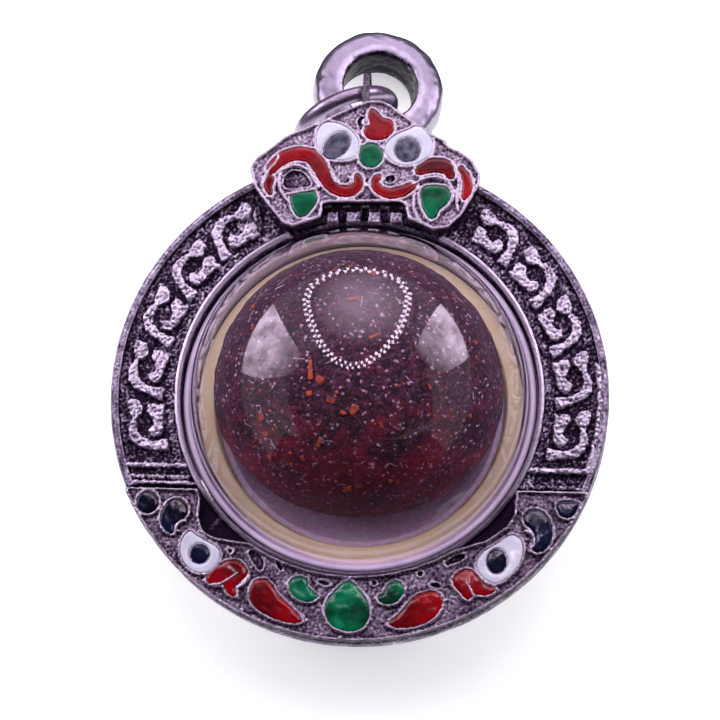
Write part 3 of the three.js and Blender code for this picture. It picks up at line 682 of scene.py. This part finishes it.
def ribbed_block(name):
    """The ribbed block beside the crest at the top of the left field."""
    outline = [(-12.7, 20.0), (-10.9, 19.4), (-10.5, 17.2), (-11.4, 15.9), (-13.1, 17.4)]
    parts = [raised_shape(name + "_block", outline, RELIEF_FOOT, FIELD + 0.35)]
    for i in range(4):
        high = Vector((-12.7 + 0.45 * i, 19.6 - 0.1 * i))
        low = Vector((-12.6 + 0.5 * i, 16.9 - 0.25 * i))
        parts.append(wire_along(name + "_rib", [high, (high + low) / 2, low], FIELD + 0.35, 0.17))
    return parts


def field_slab(name, side):
    """The ground under one side's relief, cut off at the crescent and at the crest."""
    inner, outer, bottom = OPENING + INNER_LIP - 0.1, CASE - OUTER_LIP + 0.1, FIELD - 0.6
    slab = turned(name + "_ground", [(inner, bottom), (outer, bottom), (outer, FIELD), (inner, FIELD)], 144)
    edit(slab)
    for at, normal in [((0, -9.6, 0), (0, 1, 0)), ((side * 6.9, 16.9, 0), (side * 6, -4.7, 0))]:
        select_everything()
        bpy.ops.mesh.bisect(plane_co=at, plane_no=normal, use_fill=True, clear_inner=True)
    leave_edit()
    return slab


def scroll_field(side):
    """One side's grainy field with its scrolls, the hatching along its edges and its divider bars."""
    name = "scroll_field_left" if side < 0 else "scroll_field_right"
    parts = scrolls(side, name) + hatching(side)
    if side < 0:
        parts += divider(name, side, *LEFT_BARS) + beads(LEFT_BARS[0]) + ribbed_block(name)
    else:
        parts += divider(name, side, *RIGHT_BARS) + [rope_edge(name)]
    whole = join([field_slab(name, side)] + parts, name)
    cast(whole, 0.115, 1)
    roughen(whole, 0.42, 0.24)
    roughen(whole, 0.25, 0.7)
    return settle(whole, "case", ["front_frame"], ring_metal)


def outline_wire(obj, height, wire):
    """Cuts a solid across at a height and lays a wire along the cut."""
    edit(obj)
    select_everything()
    bpy.ops.mesh.bisect(plane_co=(0, 0, height), plane_no=(0, 0, 1), use_fill=False, clear_outer=True)
    select_points(obj, lambda at: abs(at.z - height) < 0.002)
    bpy.ops.mesh.select_all(action="INVERT")
    bpy.ops.mesh.delete(type="VERT")
    select_everything()
    bpy.ops.mesh.delete(type="ONLY_FACE")
    leave_edit()
    activate(obj)
    bpy.ops.object.convert(target="CURVE")
    obj.data.bevel_depth = wire
    obj.data.bevel_resolution = 1
    bpy.ops.object.convert(target="MESH")
    return bpy.context.object


# The enamels that lie in another enamel, with no wire of their own
UNWIRED = ("crest_iris_left", "crest_iris_right", "pupil_left", "pupil_right")


def plate_with_wires(node, name, top, voxel, hollows, curls):
    """A cast plate: its ground sunk, with bare hollows, and raised wire round its edge, cells and curls."""
    plate = cad_copy(node, name)
    edge = plate.copy()
    edge.data = plate.data.copy()
    add_to_scene(edge)
    parts = [plate, outline_wire(edge, top - 0.1, WIRE)]
    for outline in hollows:
        hollow(plate, name + "_hollow", outline, top)
        parts.append(wire_along(name + "_brim", outline, top - 0.2, WIRE * 0.6, True))
    for points in curls:
        parts.append(wire_along(name + "_curl", points, top - 0.02, WIRE * 0.9))
    edit(plate)
    select_points(plate, lambda at: at.z > top - 0.03)
    bpy.ops.transform.translate(value=(0, 0, -PLATE_SINK))
    leave_edit()
    for cell in enamel_cells(node):
        if cell in UNWIRED:
            continue
        ridge = cad_copy(cell, cell + "_ridge")
        modify(ridge, "REMESH", mode="VOXEL", voxel_size=0.12)
        modify(ridge, "DISPLACE", strength=WIRE * 0.9, mid_level=0)
        parts.append(outline_wire(ridge, top - 0.2, WIRE))
    whole = join(parts, name)
    cast(whole, voxel, 1)
    roughen(whole, 0.2, 0.24)
    return whole


def enamel_cells(plate):
    """The enamels that lie within a plate's box."""
    low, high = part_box(plate)
    inside = []
    for subpart in frame["record"]["subparts"]:
        if subpart["material_slot"] not in GLAZES:
            continue
        node_low, node_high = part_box(subpart["node"])
        x, y = (node_low[0] + node_high[0]) / 2, (node_low[1] + node_high[1]) / 2
        if low[0] < x < high[0] and low[1] < y < high[1]:
            inside.append(subpart["node"])
    return inside


# The plates' bare hollows and their loose curls of wire, as (x, y) points in millimetres
CREST_HOLLOWS = [
    [(-8.3, 20.6), (-8.5, 21.6), (-8.1, 22.4), (-7.3, 22.8), (-6.4, 22.6), (-5.8, 21.9), (-5.3, 21.1),
     (-6.5, 20.8)],
    [(-0.8, 28.8), (-1.2, 28.1), (-1.0, 27.3), (-0.6, 27.0), (-0.4, 27.7), (-0.3, 28.5)],
    [(1.6, 22.1), (2.6, 22.5), (3.1, 22.2), (2.8, 21.6), (2.0, 21.5)],
    [(7.5, 22.3), (8.4, 21.9), (8.9, 21.0), (9.0, 20.2), (8.9, 21.3), (8.2, 22.2)],
]
CREST_CURLS = [
    [(-7.5, 19.1), (-8.5, 20.1), (-8.9, 21.3), (-8.6, 22.6), (-7.5, 23.2), (-6.3, 23.1), (-5.5, 22.2),
     (-4.8, 20.9)],
    [(-8.1, 20.1), (-7.0, 20.3), (-5.9, 20.5), (-4.8, 20.9)],
    [(-8.9, 24.2), (-9.2, 23.4), (-9.8, 22.9), (-10.2, 21.9), (-10.5, 20.9)],
    [(-0.1, 28.2), (0.2, 27.9), (-0.1, 27.5), (-0.6, 27.7), (-0.5, 28.2), (-0.1, 28.2)],
    [(-3.8, 23.1), (-3.4, 22.1), (-3.0, 21.3), (-2.2, 21.2), (-1.6, 21.4), (-1.5, 21.9), (-1.9, 22.1)],
    [(3.2, 21.4), (2.8, 21.0), (2.1, 21.0), (1.6, 21.3), (1.6, 21.8), (2.0, 22.0)],
    [(8.6, 24.1), (8.9, 23.1), (9.4, 22.1), (9.3, 20.7), (9.2, 19.4), (9.4, 18.7)],
    [(5.0, 20.9), (4.8, 19.8), (5.1, 18.2), (5.9, 17.3)],
    [(4.7, 21.4), (5.6, 22.0), (6.8, 22.3), (7.9, 22.1), (8.7, 21.4), (9.0, 20.4), (8.6, 19.4), (7.7, 18.6)],
]


def crest():
    plate = plate_with_wires("crest_plate", "crest_cast", CREST_TOP, 0.106, CREST_HOLLOWS, CREST_CURLS)
    return settle(plate, "case", ["crest_plate"], crest_metal)


CRESCENT_HOLLOWS = [
    [(-10.5, -16.4), (-9.6, -16.3), (-8.8, -17.0), (-8.5, -17.9), (-8.8, -18.5), (-9.3, -18.3),
     (-9.8, -17.5)],
    [(-7.6, -17.2), (-7.0, -17.5), (-6.6, -18.2), (-6.9, -18.5), (-7.4, -18.0)],
    [(-3.6, -19.2), (-2.8, -19.1), (-1.9, -19.4), (-2.1, -19.8), (-3.1, -19.6)],
    [(-12.4, -16.3), (-11.7, -16.2), (-11.8, -16.8), (-12.2, -16.8)],
    [(9.0, -17.1), (9.6, -16.6), (10.5, -16.1), (11.3, -16.2), (11.0, -16.8), (9.8, -17.3), (9.2, -17.5)],
    [(6.3, -18.2), (6.8, -17.8), (7.2, -18.2), (6.7, -18.7)],
    [(7.4, -19.2), (8.4, -19.0), (8.9, -19.3), (8.8, -19.7), (8.0, -19.6)],
    [(1.7, -19.1), (2.4, -19.0), (2.7, -19.4), (2.3, -19.7)],
]
CRESCENT_CURLS = [
    [(-11.1, -18.6), (-11.6, -19.0), (-12.2, -19.5), (-12.9, -19.8), (-13.6, -19.9)],
    [(11.2, -18.8), (11.6, -19.4), (11.9, -20.0), (12.1, -20.5)],
    [(-16.4, -13.7), (-17.0, -13.7), (-17.5, -14.1), (-17.4, -14.7), (-16.9, -14.7)],
    [(16.8, -13.7), (17.5, -14.0), (17.9, -14.4), (17.8, -15.2), (17.3, -15.8)],
    [(-9.9, -18.9), (-10.3, -19.8), (-11.0, -20.1), (-11.2, -20.6), (-10.9, -21.3)],
]


def crescent():
    plate = plate_with_wires("crescent_plate", "crescent_cast", CRESCENT_TOP, 0.12, CRESCENT_HOLLOWS,
                             CRESCENT_CURLS)
    return settle(plate, "case", ["crescent_plate"], crescent_metal)


def crest_teeth():
    """Rough blocks in the notch under the crest, hung from a rail."""
    blocks = []
    for left, right, low, high in ((-3.9, -2.7, 17.6, 19.2), (-1.9, -0.5, 17.7, 19.3), (0.3, 1.6, 17.7, 19.3),
                                   (2.5, 3.8, 17.7, 19.3)):
        outline = [(left, low), (right, low + 0.1), (right - 0.1, high - 0.5), (left + 0.1, high - 0.6)]
        blocks.append(raised_shape("tooth", outline, 14.6, 15.9))
    blocks.append(wire_along("tooth_rail", [(-4.3, 19.4), (0, 19.6), (4.3, 19.4)], 15.4, 0.22))
    teeth = join(blocks, "crest_teeth")
    cast(teeth, 0.1, 1)
    roughen(teeth, 0.25, 0.3)
    return settle(teeth, "case", ["crest_plate"], tooth_metal)


def enamels():
    """Every enamel, spread out to the wires of its cell and sunk a little below them, with a melted edge."""
    for subpart in frame["record"]["subparts"]:
        node, slot = subpart["node"], subpart["material_slot"]
        if slot not in GLAZES:
            continue
        pool = cad_copy(node, node + "_glaze")
        modify(pool, "REMESH", mode="VOXEL", voxel_size=0.11, use_smooth_shade=True)
        modify(pool, "DISPLACE", strength=0.1, mid_level=0)
        modify(pool, "SMOOTH", factor=0.5, iterations=4)
        roughen(pool, 0.04, 1.6)
        edit(pool)
        select_everything()
        bpy.ops.transform.translate(value=(0, 0, -0.16))
        leave_edit()
        settle(pool, "case", [node], GLAZES[slot])


def bowl(radius, top, steps=24):
    """(radius, height) points of the rear cup's wall, from the axis out to a height."""
    centre = DOME_INSIDE + CUP_WALL
    mouth = math.acos((centre - (top - CUP_BOTTOM)) / radius)
    angles = [mouth * i / steps for i in range(steps + 1)]
    return [(radius * math.sin(a), CUP_BOTTOM + centre - radius * math.cos(a)) for a in angles]


def capsule():
    """The dome, the frosted collar round its foot, the dusty rear cup, and the tan ring between them."""
    outside = arc(DOME, 90, 0, 40, DOME_SPRING)
    inside = arc(DOME_INSIDE, 0, 90, 40, DOME_SPRING)
    dome = turned("dome_shell", [
        *outside, (DOME, FLANGE_TOP + 0.15), (DOME + 0.15, FLANGE_TOP), (CAPSULE_FLANGE, FLANGE_TOP),
        (CAPSULE_FLANGE, FLANGE_BOTTOM), (DOME_INSIDE, FLANGE_BOTTOM), *inside,
    ], 160)
    settle(dome, "case", ["clear_dome"], acrylic, 40)

    collar = turned("dome_collar", [
        (DOME + 0.1, 11.1), (17.6, 11.1), (17.75, 11.3), (17.75, 13.4), (17.65, 13.65), (17.45, 13.75),
        (DOME + 0.25, 13.7), (DOME + 0.1, 13.5),
    ], 160)
    settle(collar, "case", ["clear_dome"], collar_plastic, 60)

    rim_bottom, rim_top = CUP_RIM
    outer_wall = bowl(DOME_INSIDE + CUP_WALL, rim_bottom)
    inner_wall = bowl(DOME_INSIDE, rim_top)
    flange = [(CAPSULE_FLANGE, rim_bottom), (CAPSULE_FLANGE, rim_top)]
    cup = turned("rear_cup", outer_wall + flange + inner_wall[::-1], 128)
    settle(cup, "case", ["clear_cup"], dusty_plastic, 40)

    seat = turned("tan_ring", [(14.5, 9.9), (16.6, 9.9), (16.6, 11.5), (14.9, 11.4)], 128)
    modify(seat, "BEVEL", width=0.2, segments=3)
    settle(seat, "case", ["gasket_ring"], tan_finish, 50)


def half_height(y):
    """The ball is flatter on its lower side."""
    return BALL_HALF[1] if y >= 0 else BALL_LOWER_HALF


def place_on_ball(direction, lift=0.0):
    """The point of the ball's surface in a direction, in millimetres."""
    halves = Vector((BALL_HALF[0], half_height(direction.y), BALL_HALF[2]))
    scaled = Vector([a / b for a, b in zip(direction, halves)])
    return direction / scaled.length + direction * lift + Vector((0, 0, BALL_CENTRE))


def powder_ball():
    """A sphere drawn out to the ball's three half sizes and roughened."""
    deselect()
    bpy.ops.mesh.primitive_ico_sphere_add(subdivisions=6, radius=1)
    ball = bpy.context.object
    ball.name = "ball_of_powder"
    edit(ball)
    for side in (1, -1):
        select_points(ball, lambda at: at.y * side > 1e-4)
        bpy.ops.transform.resize(value=(1, half_height(side), 1), center_override=(0, 0, 0))
    select_everything()
    bpy.ops.transform.resize(value=(BALL_HALF[0], 1, BALL_HALF[2]), center_override=(0, 0, 0))
    bpy.ops.transform.translate(value=(0, 0, BALL_CENTRE))
    leave_edit()
    roughen(ball, 0.35, 2.4)
    roughen(ball, 0.2, 0.5)
    settle(ball, "case", ["powder_ball"], powder_finish)


def chip_on_ball(direction, turn, size):
    deselect()
    bpy.ops.mesh.primitive_cube_add(size=1)
    chip = bpy.context.object
    facing = direction.to_track_quat("Z", "Y")
    stand(chip, place_on_ball(direction, 0.04), facing @ Matrix.Rotation(turn, 4, "Z").to_quaternion())
    chip.scale = size
    bpy.ops.object.transform_apply(location=True, rotation=True, scale=True)
    return chip


# The larger rust chips: x and y on the ball, length, width, and turn in degrees
LARGE_CHIPS = [
    (-0.1, 6.2, 1.3, 0.35, 10), (2.1, 2.4, 1.5, 0.35, 70), (-3.9, -1.0, 2.3, 0.5, 168),
    (-3.0, -2.0, 0.9, 0.7, 20), (-4.0, -3.2, 0.8, 0.7, 60), (-1.9, -3.9, 1.0, 0.6, 5),
    (0.3, -4.7, 1.1, 0.8, 40), (-8.7, -4.9, 0.9, 0.8, 0), (-8.2, -6.4, 0.7, 0.6, 80),
    (-3.0, -7.5, 1.1, 0.5, 95), (-0.3, -11.0, 0.9, 0.7, 20), (11.4, 3.4, 0.8, 0.6, 45),
    (7.3, -1.9, 0.8, 0.25, 50), (-0.7, -5.0, 0.6, 0.4, 150), (2.9, -5.9, 0.8, 0.3, 100),
    (-8.9, -8.3, 0.9, 0.25, 95),
]


def chips(name, count, lengths, widths, seed, finish, split, large=()):
    """Split grains pressed into the ball's front, the larger ones at their own places."""
    chance = random.Random(seed)
    pieces = []
    for x, y, length, width, turn in large:
        rise = BALL_HALF[2] * math.sqrt(max(0, 1 - (x / BALL_HALF[0]) ** 2 - (y / half_height(y)) ** 2))
        pieces.append(chip_on_ball(Vector((x, y, rise)).normalized(), math.radians(turn),
                                   (0.8 * length, 0.75 * width, 0.28)))
    for _ in range(count):
        direction = Vector((chance.uniform(-1.6, 1.6), chance.uniform(-1.7, 1.3), 1)).normalized()
        size = (chance.uniform(*lengths), chance.uniform(*widths), chance.uniform(*widths) * 0.7)
        pieces.append(chip_on_ball(direction, chance.uniform(0, math.pi), size))
    whole = join(pieces, name)
    modify(whole, "BEVEL", width=0.06, segments=1)
    roughen(whole, split, 0.35)
    settle(whole, "case", [], finish, 40)


def lug():
    """The lug behind the crest that the jump ring hangs in."""
    eye = cad_copy("hanger_eye", "lug_cast")
    cast(eye, 0.1, 3)
    roughen(eye, 0.06, 0.6)
    settle(eye, "case", ["hanger_eye"], lug_metal)


def jump_ring():
    hinge = next(joint for joint in frame["joints"] if joint["name"] == "bail_swing")
    deselect()
    bpy.ops.mesh.primitive_torus_add(major_radius=JUMP_RING, minor_radius=JUMP_WIRE, major_segments=128,
                                     minor_segments=28)
    ring = bpy.context.object
    ring.name = "ring_wire"
    stand(ring, Vector(hinge["pos_m"]) / MM, Vector(hinge["axis"]).to_track_quat("Z", "Y"))
    bpy.ops.object.transform_apply(location=True, rotation=True)
    roughen(ring, 0.05, 2.5)
    settle(ring, "ring", ["jump_ring"], wire_metal)


def bail():
    """A thick ring cut from bar: chamfered mouth, hammered and rubbed to soft, uneven facets."""
    eye = turned("bail_ring", [
        (3.85, -1.9), (4.0, -2.25), (4.4, -2.45), (5.6, -2.45), (6.5, -2.1), (6.95, -1.4), (7.05, 0),
        (6.95, 1.4), (6.5, 2.1), (5.6, 2.45), (4.4, 2.45), (4.0, 2.25), (3.85, 1.9), (3.85, 0),
    ], 22)
    modify(eye, "SUBSURF", levels=3, render_levels=3)
    roughen(eye, 0.35, 3.2)
    roughen(eye, 0.08, 0.8)
    activate(eye)
    stand(eye, BAIL_CENTRE, Vector(BAIL_AXIS).to_track_quat("Z", "Y"))
    bpy.ops.object.transform_apply(location=True, rotation=True)
    settle(eye, "bail", ["bail"], bail_metal)


def back():
    """The shell behind the capsule, and the four screws in its flange."""
    shell = turned("back_cover", [
        (0, 0), (19.2, 0), (20.1, 0.3), (20.65, 0.9), (20.8, 1.6), (20.8, 9.4), (21, 9.7), (23.3, 9.7),
        (23.6, 9.9), (23.6, 10.8), (23.4, 11), (19.8, 11), (19.8, 0.8), (0, 0.8),
    ], 160)
    settle(shell, "case", ["back_shell"], back_metal, 40)
    for i in range(4):
        node = "back_screw_" + str(i + 1)
        screw = cad_copy(node, node + "_head")
        modify(screw, "BEVEL", width=0.08, segments=2, limit_method="ANGLE")
        settle(screw, "case", [node], back_metal, 40)


# The stage stands round the foot of the dome's curve. Its sizes are in metres
STAGE_CENTRE = Vector((0, 0, DOME_SPRING)) * MM


def towards(off_view, sideways, upwards):
    """A direction some degrees away from the camera, to the side and up the picture in that proportion."""
    angle = math.radians(off_view)
    aside = (view_right * sideways + view_up * upwards).normalized()
    return view_back * math.cos(angle) + aside * math.sin(angle)


TO_LEFT_WINDOW = towards(76, -0.82, 0.5)
TO_RIGHT_WINDOW = towards(76, 0.82, 0.42)


def window(name, direction, distance, width, height, watts, shape="RECTANGLE"):
    """A lamp for the dull surfaces. The panels below are what the bright ones reflect."""
    data = bpy.data.lights.new(name, "AREA")
    data.shape = shape
    data.size = width
    data.size_y = height
    data.energy = watts
    lamp = bpy.data.objects.new(name, data)
    add_to_scene(lamp)
    stand(lamp, STAGE_CENTRE + direction.normalized() * distance, direction.to_track_quat("Z", "Y"))
    lamp.visible_glossy = False
    lamp.visible_transmission = False


def matt(name, colour, roughness=1):
    """A plain dull material for a stage piece, with its node tree and shader."""
    material, tree, shader = blank_material(name)[:3]
    set_inputs(tree, shader, {"Base Color": (*colour, 1), "Roughness": roughness})
    return material, tree, shader


def glowing(name, strength, middle=None, reach=None, patchy=0.0):
    """Lamp glass. With a middle, it dims towards that reach around it, in patches if asked."""
    material, tree, shader, place = blank_material(name)
    set_inputs(tree, shader, {"Base Color": (0, 0, 0, 1), "Emission Color": (0.97, 0.8, 1, 1),
                              "Emission Strength": strength})
    if middle:
        away = new_node(tree, "ShaderNodeVectorMath", {0: place, 1: middle}, operation="DISTANCE")
        dimmed = spread(tree, away.outputs["Value"], 0.25 * reach, reach, strength, 0)
        haze = spread_noise(tree, noise(tree, place, 30, 4, 0.6), 1 - patchy, 1 + patchy / 2)
        set_inputs(tree, shader, {"Emission Strength": combine(tree, haze, dimmed, "MULTIPLY")})
    return material


def only_reflected(obj):
    """Makes a stage piece one that is seen in reflections and through the dome, and nowhere else."""
    obj.visible_camera = False
    obj.visible_diffuse = False
    obj.visible_shadow = False


def across_and_up(direction):
    """The picture's right and up, laid square to a direction."""
    across = (view_right - direction * view_right.dot(direction)).normalized()
    return across, direction.cross(across)


def panel(name, direction, outline, strength, brightest, reach, patchy):
    """A lamp panel that only reflections see, drawn by its (across, up) outline in millimetres."""
    across, up = across_and_up(direction)
    middle = STAGE_CENTRE + direction * PANEL_DISTANCE
    sheet = drawn_face(name, [middle + (across * x + up * y) * MM for x, y in outline])
    leave_edit()
    modify(sheet, "SUBSURF", levels=3, render_levels=3)
    heart = middle + (across * brightest[0] + up * brightest[1]) * MM
    sheet.data.materials.append(glowing(name, strength, heart, reach * MM, patchy))
    only_reflected(sheet)


def dark_card(name, direction, distance, width, height):
    """A black card that only reflections see, as the room behind the camera is dark."""
    deselect()
    bpy.ops.mesh.primitive_plane_add(size=1)
    card = bpy.context.object
    card.name = name
    card.scale = (width, height, 1)
    stand(card, STAGE_CENTRE + direction.normalized() * distance, direction.to_track_quat("Z", "Y"))
    bpy.ops.object.transform_apply(location=True, rotation=True, scale=True)
    card.data.materials.append(matt(name, (0.01, 0.01, 0.012))[0])
    only_reflected(card)


def sky_and_floor():
    """A soft sky, and a floor that is white to the camera and in reflections but keeps the shadow."""
    scene = bpy.context.scene
    scene.view_settings.view_transform = "Standard"
    world = bpy.data.worlds.new("soft_sky")
    scene.world = world
    world.use_nodes = True
    sky = world.node_tree.nodes["Background"]
    set_inputs(world.node_tree, sky, {"Color": (0.84, 0.78, 0.90, 1), "Strength": 0.36})
    deselect()
    bpy.ops.mesh.primitive_plane_add(size=4)
    floor = bpy.context.object
    floor.name = "pale_floor"
    material, tree, shader = matt("pale_floor", (0.93, 0.92, 0.94), 0.6)
    ray = new_node(tree, "ShaderNodeLightPath").outputs
    seen = combine(tree, ray["Is Camera Ray"], ray["Is Transmission Ray"], "MAXIMUM")
    seen = combine(tree, seen, ray["Is Glossy Ray"], "MAXIMUM")
    set_inputs(tree, shader, {"Emission Color": (1, 1, 1, 1),
                              "Emission Strength": spread(tree, seen, 0, 1, 0, 0.35)})
    floor.data.materials.append(material)


# The lamp panels' outlines, in millimetres across and up their own planes, and their distance in metres
PANEL_DISTANCE = 0.2
LEFT_PANEL = [(-70, 154), (-74, 100), (-81, 56), (-85, 14), (-47, -76), (31, -136), (61, -116), (44, -3),
              (34, 102), (-7, 147), (-46, 177)]
RIGHT_PANEL = [(-37, 124), (26, 179), (34, 119), (36, 47), (31, 0), (0, -91), (-59, -102), (-84, -83),
               (-83, -25), (-68, 48)]
GLOW_RADIUS = 118

# The ring lamp's outline in the same way, its distance, and its rows of lamps as shares of the outline
LAMP_EGG = [(-2, 80), (23, 76), (43, 66), (54, 42), (53, 10), (46, -30), (30, -62), (3, -89), (-21, -94),
            (-43, -80), (-61, -47), (-69, -2), (-72, 36), (-63, 63), (-41, 77), (-21, 81)]
LAMP_DISTANCE = 0.12
LAMPS_IN_A_ROW = 50
LAMP_ROWS = (0.955, 1.045)
LAMP_SIZE = (0.0058, 0.0036)


def along_the_egg(way):
    """The point of the ring lamp's outline at a share of its length."""
    edges = [(Vector(a), Vector(b)) for a, b in zip(LAMP_EGG, LAMP_EGG[1:] + LAMP_EGG[:1])]
    left = way * sum((b - a).length for a, b in edges)
    for here, there in edges:
        if left <= (there - here).length:
            break
        left -= (there - here).length
    return here.lerp(there, left / (there - here).length)


def ring_of_lamps():
    """Two rows of small lamps that the dome reflects as a broken white ring."""
    facing = towards(58, 0.04, 1)
    across, up = across_and_up(facing)
    lamps = []
    for row, share in enumerate(LAMP_ROWS):
        for i in range(LAMPS_IN_A_ROW):
            at = along_the_egg((i + 0.5 * row) / LAMPS_IN_A_ROW) * share
            outwards = across * at.x + up * at.y
            sideways = facing.cross(outwards).normalized()
            deselect()
            bpy.ops.mesh.primitive_plane_add(size=1)
            lamp = bpy.context.object
            lamp.scale = (*LAMP_SIZE, 1)
            turn = Matrix((outwards.normalized(), sideways, facing)).transposed()
            stand(lamp, STAGE_CENTRE + facing * LAMP_DISTANCE + outwards * MM, turn.to_quaternion())
            lamps.append(lamp)
    ring = join(lamps, "ring_of_lamps")
    activate(ring)
    bpy.ops.object.transform_apply(location=True, rotation=True, scale=True)
    ring.data.materials.append(glowing("lamp_glow", 14))
    only_reflected(ring)


def studio():
    """Sky and floor, two side windows and a soft fill, and all that the dome and the metal reflect."""
    sky_and_floor()
    window("left_window", TO_LEFT_WINDOW, 0.2, 0.13, 0.15, 0.38)
    window("right_window", TO_RIGHT_WINDOW, 0.2, 0.12, 0.14, 0.38)
    window("soft_fill", towards(45, 0.04, 1), 0.31, 0.3, 0.3, 0.85, "ELLIPSE")
    panel("left_panel", TO_LEFT_WINDOW, LEFT_PANEL, 5.6, (-5, 25), 150, 0.7)
    panel("right_panel", TO_RIGHT_WINDOW, RIGHT_PANEL, 6.6, (-25, 45), 140, 0.7)
    around = [math.radians(10 * i) for i in range(36)]
    circle = [(GLOW_RADIUS * math.cos(a), GLOW_RADIUS * math.sin(a)) for a in around]
    panel("ring_lamp_glow", towards(64, 0.04, 1), circle, 2.1, (0, 0), GLOW_RADIUS, 0.2)
    dark_card("card_behind_camera", towards(4, 0, 1), 0.25, 0.54, 0.36)
    dark_card("card_at_the_foot", towards(66, 0, -1), 0.3, 0.8, 0.44)
    surround = turned("dark_surround", [(0.04, 0.0005), (0.17, 0.0005), (0.17, 0.045)], 48, False)
    surround.data.materials.append(matt("dark_surround", (0.04, 0.03, 0.05))[0])
    only_reflected(surround)
    ring_of_lamps()


face_ring()
scroll_field(-1)
scroll_field(1)
crest()
crest_teeth()
crescent()
enamels()
capsule()
powder_ball()
chips("rust_chips", 70, (0.15, 0.5), (0.1, 0.25), 7, chip_finish, 0.5, LARGE_CHIPS)
chips("pale_fibres", 60, (0.2, 1.1), (0.04, 0.08), 11, fibre_finish, 0.08)
lug()
jump_ring()
bail()
back()
studio()
